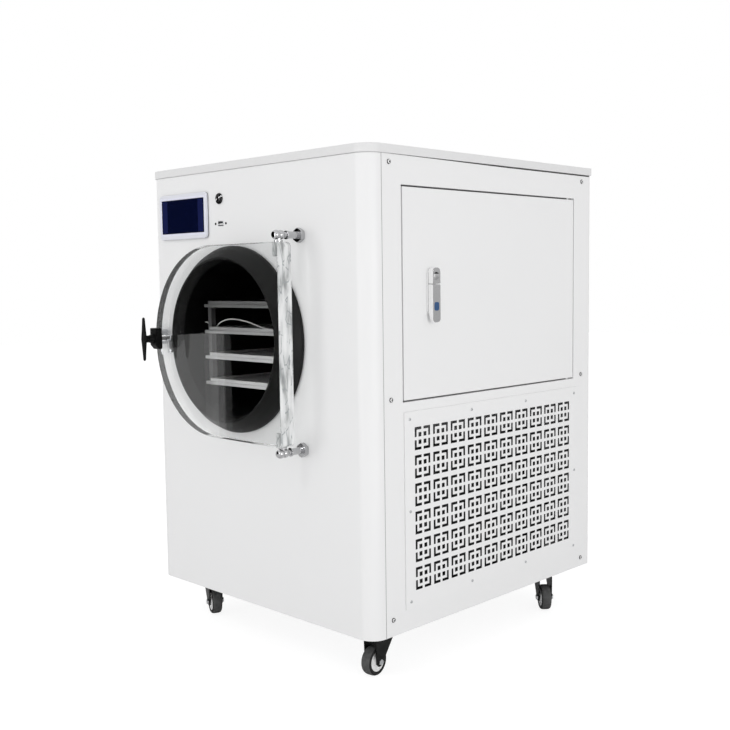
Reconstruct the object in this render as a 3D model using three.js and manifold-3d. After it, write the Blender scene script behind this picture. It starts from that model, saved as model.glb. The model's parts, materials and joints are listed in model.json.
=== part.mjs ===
// Laboratory freeze dryer: a white sheet-steel cabinet on four swivel casters, with a
// horizontal vacuum chamber behind a clear hinged door, four heated shelves with trays,
// a touch panel, a service door with a flush lock and a pierced ventilation grille.
//
// Millimetres, +Z up, +X to the operator's right, the front faces -Y.
// The cabinet is centred on X and Y, and the casters stand on Z = 0.

import * as THREE from 'three';
import { mergeVertices } from 'three/addons/utils/BufferGeometryUtils.js';
import Module from 'manifold-3d';

const wasm = await Module();
wasm.setup();

// ---------------------------------------------------------------- driving dimensions

// Cabinet
const cabinetWidth = 600;
const cabinetDepth = 638;
const cabinetHeight = 793;
const casterHeight = 82;             // floor to the underside of the cabinet
const sheet = 1.5;                   // folded panels
const fasciaSheet = 2;               // front panel
const cornerRadius = 30;             // vertical front corners
const fasciaReturn = 31;             // how far the front panel wraps round the sides
const hem = 14;                      // folded edges of the panels
const seam = 0.4;                    // between neighbouring panels
const seat = 0.3;                    // between pieces that rest on each other
const fitGap = 0.5;                  // round what passes through a hole
const lidThickness = 14.4;
const lidOverhang = 2.5;
const trayFlange = 22;               // upturned edge of the base tray
const trayGauge = 2;                 // sheet of the base tray

// Machinery bay between the chamber's flange and the right side. Its free room is shared as
// gaps by these parts: flange to divider, divider to fan, shroud to condenser, condenser to side
const bayShares = [17, 4, 12, 11];
const deckBelowDoor = 13;            // deck under the service door's lower edge
const deckGauge = 2;

// Vacuum chamber
const chamberX = -21;                // axis from the cabinet's middle
const chamberBelowTop = 305.5;       // axis below the cabinet's upper edge
const chamberBore = 138;             // inner radius
const chamberWall = 3;
const chamberFacets = 36;
const chamberDepth = 380;            // from the front panel to the start of the dished end
const dishDepth = 34;
const mouthProjection = 14;          // chamber mouth in front of the panel
const flangeRadius = 160;
const flangeThickness = 6;
const gasketRadius = 167.5;
const gasketLip = 147.5;             // clear of the door's corner as it swings
const gasketLipWidth = 3.5;
const gasketFoot = 1;                // straight part of its bore, behind the flare
const gasketFront = 34;              // sealing lip in front of the panel
const gasketShoulder = 7;            // how far the taper steps in from the rim
const coilTube = 4.5;
const coilTurns = 3;
const coilPitch = 14;
const coilToDish = 22;               // last turn to the start of the dished end
const saddleHalfWidth = 120;
const saddleGauge = 4;
const saddleFoot = 30;
const saddleFrontInset = 90;         // front saddle behind the front panel
const saddleRearInset = 50;          // rear saddle in front of the dished end
const saddleBelowAxis = 50;
const saddleWindowMargin = 30;
const saddleWindowLow = 40;
const saddleWindowHeight = 200;
const railLow = 250;
const railHeight = 30;

// Clear door
const doorThickness = 30;
const doorGap = 0.3;                 // door to gasket
const doorRadius = 170.5;
const doorShift = 9.5;               // centre of its round side left of the chamber's axis
const doorDrop = 2;                  // middle below the chamber's axis
const doorReach = 176;               // right edge from the chamber's axis
const doorCornerRadius = 8;
const doorBevel = 1;

// Hinge posts of the clear door
const hingeInset = 14.5;             // pins from the door's right edge
const hingeOffset = 12;              // post axis above and below the door's edges
const postRodRadius = 6;
const postNutFlats = 22;
const postNutLength = 8;
const postCollarRadius = 7.4;
const postCollarFront = 33.5;        // in front of the panel
const postCollarLength = 4;
const postBallRadius = 8;
const postBallSpacing = 9.5;         // one ball on each side of the pin
const pinRadius = 5;
const pinBoreRadius = 5.5;
const pinDepth = 22;                 // into the door's edge
const shoulderRadius = 7.5;

// Latch of the clear door
const latchReach = 168;              // spindle from the chamber's axis
const latchDrop = 0.5;
const latchBlockWidth = 18;
const latchBlockHeight = 39.5;
const latchBlockDepth = 14.5;
const spindleRadius = 5;
const spindleBore = 5.4;
const wingLength = 81;
const wingHubRadius = 8.5;
const wingHubLength = 16.5;
const pawlLength = 30;
const pawlWidth = 12;
const pawlThickness = 5;
const pawlFront = 27;                // front face of the pawl, in front of the panel
const keeperReach = 47;              // outer edge of the keeper from the spindle
const keeperLip = 28;
const keeperHeight = 28;
const keeperPlate = 3.4;
const keeperGap = 0.6;               // pawl to keeper lip

// Touch panel
const hmiInset = 38;                 // from the cabinet's left side
const hmiBelowTop = 35;
const hmiWidth = 149;
const hmiHeight = 85;
const hmiProud = 6;
const hmiRadius = 7;
const hmiBodyDepth = 28;
const hmiBodyInset = 6;              // bezel beyond the body, all round
const screenRise = 0.5;
const screenWidth = 135;
const screenHeight = 64;
const screenRecess = 1.8;
const screenThickness = 1.4;

// Power button
const buttonToHmi = 33.6;
const buttonBelowTop = 50;
const buttonBezelRadius = 10;
const buttonBarrelRadius = 8.2;
const buttonRadius = 6.8;
const buttonTravel = 2.5;
const buttonBarrelDepth = 22;
const buttonBezelHeight = 2.8;

// USB socket
const usbShift = 2.7;                // right of the button
const usbBelowButton = 45.3;
const usbWidth = 15;
const usbHeight = 8.4;
const usbWall = 0.9;
const usbDepth = 20;
const usbPlateWidth = 40;
const usbPlateHeight = 16;

// Service door in the right side
const serviceFrontInset = 80;        // from the front panel's face
const serviceRearInset = 59;         // from the back
const serviceBelowTop = 50.5;
const serviceAboveGrille = 19.7;
const serviceGap = 3;
const serviceReturn = 15;            // depth of the door's folded edges
const openingReturn = 18;            // depth of the opening's folded edges
const pivotInset = 13.5;             // pivot axis from the door's rear edge
const pivotDepth = 6;                // pivot axis behind the door's face
const pivotPinRadius = 3;
const pivotHoleRadius = 3.4;

// Push-button lock
const lockInset = 68.5;              // axis of button and spindle from the door's front edge
const lockBelowDoorTop = 145.5;
const lockWidth = 20;
const lockTop = 14;                  // top of the lock above its axis
const lockLength = 92;
const lockPlate = 3;
const lockThickness = 10;
const lockButtonRadius = 6;
const lockButtonProud = 1.6;
const lockButtonTravel = 2.4;
const leverSplit = 14;               // top of the lever below the axis
const leverHeel = 17;                // undercut finger grip at the lever's end
const lockSpindleRadius = 5;
const camLength = 88;
const camWidth = 14;
const camThickness = 3;

// Ventilation grille in the right side
const grilleY = 17;
const grilleZ = 204.8;
const ventMargin = 15;               // overlap of the grille on the panel, all round
const grilleWidth = 515;
const grilleHeight = 335;
const grillePlate = 1.5;
const grilleColumns = 10;
const grilleRows = 6;
const grillePitchY = 46.9;
const grillePitchZ = 47.9;
const grillePatternY = 14.8;
const grillePatternZ = 206;
const cellSize = 38.3;
const cellSlot = 4;
const cellBar = 6.2;                 // bars that hold the middle of each cell

// Shelves and trays
const shelfCount = 4;
const shelfPitch = 48;
const topShelfRise = 62.5;           // top face of the highest shelf above the chamber's axis
const rackWidth = 208;
const rackToDish = 78;
const rackFront = 9;                 // shelves' front edges behind the front panel's face
const postSize = 10;
const shelfThickness = 5.7;
const shelfLip = 8;                  // full-width strip of each shelf in front of the posts
const ledge = 8;
const ledgeThickness = 2;
const trayHeight = 6;
const traySheet = 1.2;
const trayMargin = 2;

// Probe lead and the boss in the chamber's wall that it comes out of
const leadRadius = 1.1;
const tipRadius = 2;
const tipLength = 26;
const bossInset = 7.5;               // end of the boss from the chamber's bore
const bossBack = 31;                 // behind the front panel's face
const bossRise = 28;                 // above the chamber's axis
const bossRadius = 4;
const bossLength = 8;

// Casters
const casterSideInset = 58;          // swivel axis from the cabinet's side
const casterEndInset = 81;           // swivel axis from the cabinet's front or back
const casterOffset = 24;             // wheel axle from the swivel axis
const wheelRadius = 25;
const wheelWidth = 21;
const wheelBore = 4.3;
const axleRadius = 4;
const forkGap = 0.8;
const forkSheet = 2.5;
const forkTopRadius = 21;
const racewayRadius = 19;
const racewayHeight = 9;
const casterPlate = 60;
const casterPlateThickness = 3;
const casterHeadings = { front_right: -84, front_left: -24, rear_right: -42, rear_left: -108 };

// Machinery
const fanRadius = 96;
const fanY = 20;
const fanZ = 190;
const fanBladeCount = 5;
const fanHubRadius = 22;
const fanHubBack = 10;
const fanHubFront = 12;
const fanBladeGauge = 2.5;
const fanBladeChord = 44;
const fanBladePitch = 62;            // degrees from the plane of the fan
const shaftRadius = 3;
const shroudHalfWidth = 150;
const shroudGauge = 3;
const shroudToFan = 18;
const shroudRing = 4;                // ring outside the blades' tips
const motorRadius = 32;
const motorBack = 34;
const motorFront = 14;
const armWidth = 6;
const armHeight = 10;
const condenserWidth = 400;
const condenserHeight = 290;
const condenserDepth = 40;
const condenserEnd = 12;
const condenserLip = 1;              // end plates beyond the fins, at each face
const condenserPlate = 9;
const finCount = 16;
const finRoot = 12;
const compressorRadius = 82;
const compressorHeight = 205;
const compressorSideInset = 150;     // its middle from the left side
const compressorToCradle = 109;      // its middle behind the rear saddle's foot
const compressorPlateLow = 12;
const compressorPlate = 6;
const footRadius = 11;
const controlFrontInset = 139;
const controlRearInset = 119;
const controlAboveDeck = 41;
const controlBelowTop = 63;
const controllerDepth = 52;
const supplyDepth = 60;
const driveDepth = 40;
const contactorDepth = 58;
const relayDepth = 36;
const terminalDepth = 30;
const portRadius = 13;
const portBore = 10;
const portFlangeRadius = 20;
const portProjection = 30;
const portCollar = 5;
const glandInset = 95;               // from the right side
const glandZ = 120;
const glandRadius = 8;
const slotWidth = 72;
const slotHeight = 6;
const slotPitchX = 90;
const slotPitchZ = 16;
const lowSlotsX = -60;
const lowSlotsZ = 130;
const highSlotsX = 60;
const highSlotsBelowTop = 93;

// ---------------------------------------------------------------- places worked out

const halfWidth = cabinetWidth / 2;
const halfDepth = cabinetDepth / 2;
const frontY = -halfDepth;
const floorOf = (height) => casterHeight + height;      // heights above the underside
const inFront = (distance) => frontY - distance;        // places in front of the panel
const cabinetTopZ = floorOf(cabinetHeight);
const chamberZ = cabinetHeight - chamberBelowTop;
const doorCentreX = chamberX - doorShift;
const doorCentreZ = chamberZ - doorDrop;
const doorRightX = chamberX + doorReach;
const hingeX = doorRightX - hingeInset;
const latchX = chamberX - latchReach;
const latchZ = chamberZ - latchDrop;
const keeperOuterX = latchX - keeperReach;
const hmiX = -halfWidth + hmiInset + hmiWidth / 2;
const hmiZ = cabinetHeight - hmiBelowTop - hmiHeight / 2;
const screenZ = hmiZ + screenRise;
const buttonX = hmiX + hmiWidth / 2 + buttonToHmi;
const buttonZ = cabinetHeight - buttonBelowTop;
const usbX = buttonX + usbShift;
const usbZ = buttonZ - usbBelowButton;
const serviceFrontY = frontY + serviceFrontInset;
const serviceRearY = halfDepth - serviceRearInset;
const serviceTopZ = cabinetHeight - serviceBelowTop;
const serviceBottomZ = grilleZ + grilleHeight / 2 + serviceAboveGrille;
const lockY = serviceFrontY + lockInset;
const lockZ = serviceTopZ - lockBelowDoorTop;
const deckZ = serviceBottomZ - deckBelowDoor;
const shelfTopZ = chamberZ + topShelfRise;
const rackDepth = chamberDepth - rackFront - rackToDish;
const boss = { x: chamberX - chamberBore + bossInset, y: frontY + bossBack, z: chamberZ + bossRise };
const bayLeft = chamberX + flangeRadius;
const bayRight = halfWidth - openingReturn;
const fanSetDepth = motorBack + shroudToFan + shroudGauge;
const condenserSetDepth = condenserDepth + 2 * condenserLip;
const bayFree = bayRight - bayLeft - deckGauge - fanSetDepth - condenserSetDepth;
const bayGap = bayFree / bayShares.reduce((sum, share) => sum + share);
const dividerX = bayLeft + bayShares[0] * bayGap + deckGauge;
const fanX = dividerX + bayShares[1] * bayGap + motorBack;
const condenserX = bayRight - bayShares[3] * bayGap - condenserSetDepth / 2;
const glandX = halfWidth - glandInset;
const casterX = halfWidth - casterSideInset;
const casterY = halfDepth - casterEndInset;
const compressorX = compressorSideInset - halfWidth;
const saddleFrontY = frontY + saddleFrontInset;
const saddleRearY = frontY + chamberDepth - saddleRearInset;
const compressorY = saddleRearY + saddleFoot + compressorToCradle;
const doorBackOffset = gasketFront + doorGap;
const doorFrontOffset = doorBackOffset + doorThickness;
const doorMiddleOffset = doorBackOffset + doorThickness / 2;
const doorTopZ = floorOf(doorCentreZ + doorRadius);
const doorBottomZ = floorOf(doorCentreZ - doorRadius);
const serviceMiddleY = (serviceFrontY + serviceRearY) / 2;
const serviceMiddleZ = (serviceBottomZ + serviceTopZ) / 2;
const serviceWidth = serviceRearY - serviceFrontY;
const serviceHeight = serviceTopZ - serviceBottomZ;
const trayEdgeY = halfDepth - hem - 2 * seam - trayGauge;
const standZ = floorOf(trayGauge) + seat;               // what stands in the base tray
const drumEndY = frontY + chamberDepth + dishDepth;

// ---------------------------------------------------------------- materials

function finish(color, roughness, metalness) {
  return new THREE.MeshStandardMaterial({ color, roughness, metalness });
}

const whitePaint = finish(0xe9eaec, 0.42, 0);
const whitePlastic = finish(0xdfe1ea, 0.4, 0);
const blackPlastic = finish(0x141416, 0.45, 0);
const blackRubber = finish(0x101011, 0.8, 0);
const blackSteel = finish(0x1a1a1c, 0.4, 0.6);
const polishedSteel = finish(0xc9ccd0, 0.12, 1);
const stainless = finish(0x9b9da0, 0.35, 1);
const zincSteel = finish(0xa9acb0, 0.5, 0.9);
const lockChrome = finish(0xd4d6da, 0.25, 1);
const clearAcrylic = finish(0xf0f6f6, 0.05, 0);
const screenGlass = finish(0x0c1436, 0.1, 0);
const copper = finish(0xb06a45, 0.35, 1);
const aluminium = finish(0xb9bcc0, 0.45, 0.9);
const leadWhite = finish(0xe6e6e2, 0.6, 0);
const tyreBlack = finish(0x1c1c1e, 0.7, 0);

// ---------------------------------------------------------------- solid modelling

const model = new THREE.Group();

function toSolid(geometry) {
  const bare = geometry.clone();
  bare.deleteAttribute('normal');
  bare.deleteAttribute('uv');
  const merged = mergeVertices(bare, 1e-4);
  const corners = merged.index.array;
  const faces = [];
  for (let i = 0; i < corners.length; i += 3) {
    const [a, b, c] = [corners[i], corners[i + 1], corners[i + 2]];
    if (a !== b && b !== c && c !== a) faces.push(a, b, c);
  }
  return new wasm.Manifold(new wasm.Mesh({
    numProp: 3,
    vertProperties: Float32Array.from(merged.attributes.position.array),
    triVerts: Uint32Array.from(faces),
  }));
}

function toGeometry(solid) {
  const { vertProperties, triVerts } = solid.getMesh();
  const geometry = new THREE.BufferGeometry();
  geometry.setAttribute('position', new THREE.BufferAttribute(vertProperties, 3));
  geometry.setIndex(new THREE.BufferAttribute(triVerts, 1));
  geometry.computeVertexNormals();
  return geometry;
}

function join(first, ...others) {
  return others.reduce((whole, part) => whole.add(part), first);
}

function cut(first, ...others) {
  return others.reduce((whole, part) => whole.subtract(part), first);
}

function addPiece(name, solid, material, parent = model) {
  const mesh = new THREE.Mesh(toGeometry(solid), material);
  mesh.name = name;
  parent.add(mesh);
  return mesh;
}

// Box between two corners
function block(x0, x1, y0, y1, z0, z1) {
  const box = new THREE.BoxGeometry(x1 - x0, y1 - y0, z1 - z0);
  return toSolid(box.translate((x0 + x1) / 2, (y0 + y1) / 2, (z0 + z1) / 2));
}

// Extrusions: on the floor plan, towards the front (-Y) and towards the right (+X)
function extrude(shape, depth) {
  return new THREE.ExtrudeGeometry(shape, { depth, bevelEnabled: false });
}

function planPrism(shape, z0, z1) {
  return toSolid(extrude(shape, z1 - z0).translate(0, 0, z0));
}

function frontPrism(shape, yBack, yFront) {
  const geometry = extrude(shape, yBack - yFront);
  return toSolid(geometry.rotateX(Math.PI / 2).translate(0, yBack, 0));
}

const sideways = new THREE.Matrix4().makeBasis(
  new THREE.Vector3(0, 1, 0), new THREE.Vector3(0, 0, 1), new THREE.Vector3(1, 0, 0));

function sidePrism(shape, x0, x1) {
  const geometry = extrude(shape, x1 - x0);
  return toSolid(geometry.applyMatrix4(sideways).translate(x0, 0, 0));
}

// Turned pieces: the profile lists [radius, place along the axis] and closes on itself,
// and runs the way round that faces its skin outwards
function turned(profile, segments = 24) {
  const points = profile.map(([radius, place]) => new THREE.Vector2(radius, place));
  if (THREE.ShapeUtils.area(points) < 0) points.reverse();
  points.push(points[0].clone());
  return new THREE.LatheGeometry(points, segments);
}

function turnedUp(profile, segments) {
  return toSolid(turned(profile, segments).rotateX(Math.PI / 2));
}

function turnedForward(profile, segments) {
  return toSolid(turned(profile, segments).rotateX(Math.PI));
}

function turnedRight(profile, segments) {
  return toSolid(turned(profile, segments).rotateZ(-Math.PI / 2));
}

// Round bars along the three axes
function barUp(x, y, z0, z1, radius, segments = 16) {
  const bar = new THREE.CylinderGeometry(radius, radius, z1 - z0, segments);
  return toSolid(bar.rotateX(Math.PI / 2).translate(x, y, (z0 + z1) / 2));
}

function barForward(x, z, yBack, yFront, radius, segments = 16) {
  const bar = new THREE.CylinderGeometry(radius, radius, yBack - yFront, segments);
  return toSolid(bar.translate(x, (yBack + yFront) / 2, z));
}

function barRight(y, z, x0, x1, radius, segments = 16) {
  const bar = new THREE.CylinderGeometry(radius, radius, x1 - x0, segments);
  return toSolid(bar.rotateZ(Math.PI / 2).translate((x0 + x1) / 2, y, z));
}

function polygon(points) {
  return new THREE.Shape(points.map(([x, y]) => new THREE.Vector2(x, y)));
}

function rectangle(x, y, width, height) {
  const [w, h] = [width / 2, height / 2];
  return polygon([[x - w, y - h], [x + w, y - h], [x + w, y + h], [x - w, y + h]]);
}

// Points of an arc, with its angles in degrees
function arc(x, y, radius, from, to, steps) {
  const points = [];
  for (let i = 0; i <= steps; i += 1) {
    const angle = THREE.MathUtils.degToRad(from + (to - from) * i / steps);
    points.push([x + Math.cos(angle) * radius, y + Math.sin(angle) * radius]);
  }
  return points;
}

function roundedRectangle(x, y, width, height, radius, steps = 3) {
  const [left, right] = [x - width / 2 + radius, x + width / 2 - radius];
  const [low, high] = [y - height / 2 + radius, y + height / 2 - radius];
  return polygon([...arc(right, low, radius, -90, 0, steps),
    ...arc(right, high, radius, 0, 90, steps),
    ...arc(left, high, radius, 90, 180, steps),
    ...arc(left, low, radius, 180, 270, steps)]);
}

// ---------------------------------------------------------------- cabinet

// Floor plan with two rounded front corners, from yRear forward
function roundedPlan(x, front, radius, yRear) {
  return polygon([[-x, yRear], ...arc(-x + radius, front + radius, radius, 180, 270, 9),
    ...arc(x - radius, front + radius, radius, 270, 360, 9), [x, yRear]]);
}

function frontPlan(inset, yRear) {
  return roundedPlan(halfWidth - inset, frontY + inset, cornerRadius - inset, yRear);
}

// Front panel: one sheet wrapped round both corners, with folded edges and its cut-outs
function buildFrontPanel() {
  const yRear = frontY + fasciaReturn;
  const shell = cut(
    planPrism(frontPlan(0, yRear), casterHeight, cabinetTopZ),
    planPrism(frontPlan(fasciaSheet, yRear + 1), casterHeight - 1, cabinetTopZ + 1));
  const edges = [];
  for (const side of [-1, 1]) {
    const [a, b] = [side * (halfWidth - 1), side * (halfWidth - hem)].sort((p, q) => p - q);
    edges.push(block(a, b, yRear - sheet, yRear, casterHeight, cabinetTopZ));
  }
  const span = halfWidth - cornerRadius;
  for (const z of [casterHeight, cabinetTopZ - sheet]) {
    edges.push(block(-span, span, frontY + 1, frontY + hem, z, z + sheet));
  }
  const [yIn, yOut] = [frontY + fasciaSheet + 1, frontY - 1];
  const hmiCut = roundedRectangle(hmiX, floorOf(hmiZ),
    hmiWidth - 2 * hmiBodyInset + 2 * fitGap, hmiHeight - 2 * hmiBodyInset + 2 * fitGap, 3, 1);
  return cut(join(shell, ...edges),
    barForward(chamberX, floorOf(chamberZ), yIn, yOut, chamberBore + chamberWall + fitGap, chamberFacets),
    frontPrism(hmiCut, yIn, yOut),
    barForward(buttonX, floorOf(buttonZ), yIn, yOut, buttonBarrelRadius + fitGap),
    frontPrism(rectangle(usbX, floorOf(usbZ), usbWidth + 2 * seat, usbHeight + 2 * seat), yIn, yOut));
}

// Side panels: a sheet with all four edges folded in
function sidePanelBlank(side) {
  const y0 = frontY + fasciaReturn + seam;
  const y1 = halfDepth - sheet - seam;
  const between = (a, b) => [Math.min(side * a, side * b), Math.max(side * a, side * b)];
  return cut(
    block(...between(halfWidth - hem, halfWidth), y0, y1, casterHeight, cabinetTopZ),
    block(...between(halfWidth - hem - 1, halfWidth - sheet), y0 + sheet, y1 - sheet,
      casterHeight + sheet, cabinetTopZ - sheet));
}

function buildRightPanel() {
  const [inner, outer] = [halfWidth - openingReturn, halfWidth];
  const openingWidth = serviceWidth + 2 * serviceGap;
  const openingHeight = serviceHeight + 2 * serviceGap;
  const [y, z] = [serviceMiddleY, floorOf(serviceMiddleZ)];
  const collar = sidePrism(
    rectangle(y, z, openingWidth + 2 * sheet, openingHeight + 2 * sheet), inner, outer);
  const ventWidth = grilleWidth - 2 * ventMargin;
  const ventHeight = grilleHeight - 2 * ventMargin;
  const pivotY = serviceRearY - pivotInset;
  return cut(join(sidePanelBlank(1), collar),
    sidePrism(rectangle(y, z, openingWidth, openingHeight), inner - 1, outer + 1),
    sidePrism(rectangle(grilleY, floorOf(grilleZ), ventWidth, ventHeight), inner - 1, outer + 1),
    barUp(outer - pivotDepth, pivotY, floorOf(serviceBottomZ) - 8, floorOf(serviceTopZ) + 8,
      pivotHoleRadius, 12));
}

// Ventilation slots of the back panel
function slotField(xCentre, zCentre, columns, rows) {
  const slots = [];
  for (let column = 0; column < columns; column += 1) {
    for (let row = 0; row < rows; row += 1) {
      const x = xCentre + (column - (columns - 1) / 2) * slotPitchX;
      const z = zCentre + (row - (rows - 1) / 2) * slotPitchZ;
      slots.push(block(x - slotWidth / 2, x + slotWidth / 2, halfDepth - sheet - 1, halfDepth + 1,
        z - slotHeight / 2, z + slotHeight / 2));
    }
  }
  return slots;
}

function buildBackPanel() {
  const [y0, y1] = [halfDepth - sheet, halfDepth];
  const plate = block(-halfWidth, halfWidth, y0, y1, casterHeight, cabinetTopZ);
  return cut(plate,
    ...slotField(lowSlotsX, floorOf(lowSlotsZ), 3, 5),
    ...slotField(highSlotsX, cabinetTopZ - highSlotsBelowTop, 2, 3),
    barForward(chamberX, floorOf(chamberZ), y1 + 1, y0 - 1, portRadius + fitGap),
    barForward(glandX, floorOf(glandZ), y1 + 1, y0 - 1, glandRadius + fitGap, 12));
}

// Base tray: a folded pan that carries the machinery and the casters
function buildBaseTray() {
  const x = halfWidth - hem - 2 * seam;
  const [y0, y1] = [frontY + hem + 2 * seam, halfDepth - hem - 2 * seam];
  const z = casterHeight;
  return cut(
    block(-x, x, y0, y1, z, z + trayFlange),
    block(-x + trayGauge, x - trayGauge, y0 + trayGauge, y1 - trayGauge,
      z + trayGauge, z + trayFlange + 1));
}

// Lid: a pan turned over, with a hem folded under its skirt
function lidPlan(inset) {
  const outer = lidOverhang - inset;
  return roundedPlan(halfWidth + outer, frontY - outer, cornerRadius + outer, halfDepth + outer);
}

function buildLid() {
  const z0 = cabinetTopZ + seat;
  const z1 = z0 + lidThickness;
  return cut(
    planPrism(lidPlan(0), z0, z1),
    planPrism(lidPlan(sheet), z0 + sheet, z1 - sheet),
    planPrism(lidPlan(hem + lidOverhang), z0 - 1, z0 + sheet + 1));
}

addPiece('front_panel', buildFrontPanel(), whitePaint);
addPiece('left_side_panel', sidePanelBlank(-1), whitePaint);
addPiece('right_side_panel', buildRightPanel(), whitePaint);
addPiece('back_panel', buildBackPanel(), whitePaint);
addPiece('base_tray', buildBaseTray(), zincSteel);
addPiece('top_cover', buildLid(), whitePaint);

// ---------------------------------------------------------------- ventilation grille

// One corner slot of a cell; the four corners differ by the signs of across and up
function cornerSlot(y, z, across, up) {
  const outer = cellSize / 2;
  const inner = outer - cellSlot;
  const end = cellBar / 2;
  const corners = [[outer, outer], [end, outer], [end, inner], [inner, inner],
    [inner, end], [outer, end]];
  const points = corners.map(([a, b]) => [y + across * a, z + up * b]);
  return polygon(points);
}

function buildGrille() {
  const [inner, outer] = [halfWidth + seat, halfWidth + seat + grillePlate];
  const slots = [];
  for (let column = 0; column < grilleColumns; column += 1) {
    for (let row = 0; row < grilleRows; row += 1) {
      const y = grillePatternY + (column - (grilleColumns - 1) / 2) * grillePitchY;
      const z = floorOf(grillePatternZ + (row - (grilleRows - 1) / 2) * grillePitchZ);
      for (const across of [-1, 1]) {
        for (const up of [-1, 1]) slots.push(cornerSlot(y, z, across, up));
      }
    }
  }
  const plate = rectangle(grilleY, floorOf(grilleZ), grilleWidth, grilleHeight);
  return cut(sidePrism(plate, inner, outer), sidePrism(slots, inner - 1, outer + 1));
}

addPiece('side_grille', buildGrille(), whitePaint);

// ---------------------------------------------------------------- inner walls and cradle

// Divider: a folded sheet that carries the controls, with a deck above the condenser
function buildDivider() {
  const [y0, y1] = [-trayEdgeY + hem, trayEdgeY - seat];
  const xRight = halfWidth - openingReturn - deckGauge;
  return join(
    block(dividerX - deckGauge, dividerX, y0, y1, standZ, cabinetTopZ - hem),
    block(dividerX - 1, xRight, y0, y1, floorOf(deckZ), floorOf(deckZ) + deckGauge));
}

// Cradle: two saddles on feet, tied by two rails
function buildCradle() {
  const saddles = [];
  const radius = chamberBore + chamberWall + seat;
  const z0 = standZ;
  const zDrum = floorOf(chamberZ);
  const [left, right] = [chamberX - saddleHalfWidth, chamberX + saddleHalfWidth];
  for (const y of [saddleFrontY, saddleRearY]) {
    const plate = block(left, right, y, y + saddleGauge, z0, zDrum - saddleBelowAxis);
    const window = block(left + saddleWindowMargin, right - saddleWindowMargin, y - 1,
      y + saddleGauge + 1, z0 + saddleWindowLow, z0 + saddleWindowLow + saddleWindowHeight);
    const foot = block(left, right, y, y + saddleFoot, z0, z0 + saddleGauge - 1);
    saddles.push(join(cut(plate, window), foot));
  }
  for (const x of [left, right - saddleGauge]) {
    saddles.push(block(x, x + saddleGauge, saddleFrontY, saddleRearY + saddleGauge,
      z0 + railLow, z0 + railLow + railHeight));
  }
  const drum = barForward(chamberX, zDrum, saddleRearY + saddleFoot, saddleFrontY - saddleFoot,
    radius, chamberFacets);
  return cut(join(...saddles), drum);
}

addPiece('inner_divider', buildDivider(), zincSteel);
addPiece('chamber_cradle', buildCradle(), zincSteel);

// ---------------------------------------------------------------- vacuum chamber

// Profile places are measured forward from the front panel's face
function buildDrum() {
  const outer = chamberBore + chamberWall;
  const back = -fasciaSheet - seat;
  const profile = [
    [portBore, -chamberDepth - dishDepth], [outer * 0.5, -chamberDepth - dishDepth * 0.86],
    [outer * 0.85, -chamberDepth - dishDepth * 0.5], [outer, -chamberDepth],
    [outer, back - flangeThickness], [flangeRadius, back - flangeThickness],
    [flangeRadius, back], [outer, back], [outer, mouthProjection],
    [chamberBore, mouthProjection], [chamberBore, -chamberDepth],
    [chamberBore * 0.85, -chamberDepth - dishDepth * 0.5 + chamberWall],
    [chamberBore * 0.5, -chamberDepth - dishDepth * 0.86 + chamberWall],
    [portBore, -chamberDepth - dishDepth + chamberWall]];
  const drum = turnedForward(profile, chamberFacets);
  const leadBoss = barRight(boss.y, floorOf(boss.z), boss.x - bossLength, boss.x, bossRadius, 8);
  return join(drum.translate([chamberX, frontY, floorOf(chamberZ)]), leadBoss);
}

// Gasket: a thick ring round the chamber's mouth, flared to a sealing lip
function buildGasket() {
  const inner = chamberBore + chamberWall + fitGap;
  const profile = [
    [inner, seat], [gasketRadius, seat], [gasketRadius, 8], [gasketRadius - gasketShoulder, 20],
    [gasketLip, gasketFront], [gasketLip - gasketLipWidth, gasketFront],
    [chamberBore, mouthProjection + seat + gasketFoot], [chamberBore, mouthProjection + seat],
    [inner, mouthProjection + seat]];
  return turnedForward(profile, chamberFacets).translate([chamberX, frontY, floorOf(chamberZ)]);
}

// Cooling coil: turns of tube against the chamber's wall, behind the rack
function buildCoil() {
  const perTurn = 12;
  const steps = coilTurns * perTurn;
  const radius = chamberBore * Math.cos(Math.PI / chamberFacets) - seat - coilTube;
  const start = frontY + chamberDepth - coilToDish - coilTurns * coilPitch;
  const points = [];
  for (let i = 0; i <= steps; i += 1) {
    const angle = Math.PI * (2 * i / perTurn - 0.5);
    const y = start + i * coilPitch / perTurn;
    points.push(new THREE.Vector3(Math.cos(angle) * radius, y, Math.sin(angle) * radius));
  }
  const path = new THREE.CatmullRomCurve3(points);
  const section = polygon(arc(0, 0, coilTube, 0, 300, 5));
  const geometry = new THREE.ExtrudeGeometry(section,
    { steps, extrudePath: path, bevelEnabled: false });
  return toSolid(geometry).translate([chamberX, 0, floorOf(chamberZ)]);
}

addPiece('chamber_drum', buildDrum(), stainless);
addPiece('chamber_gasket', buildGasket(), blackRubber);
addPiece('cooling_coil', buildCoil(), copper);

// ---------------------------------------------------------------- shelves and trays

const rackLeft = chamberX - rackWidth / 2;
const rackRight = rackLeft + rackWidth;
const shelfFrontY = frontY + rackFront;
const rackFrontY = shelfFrontY + shelfLip + seat;
const rackRearY = shelfFrontY + rackDepth;

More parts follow.
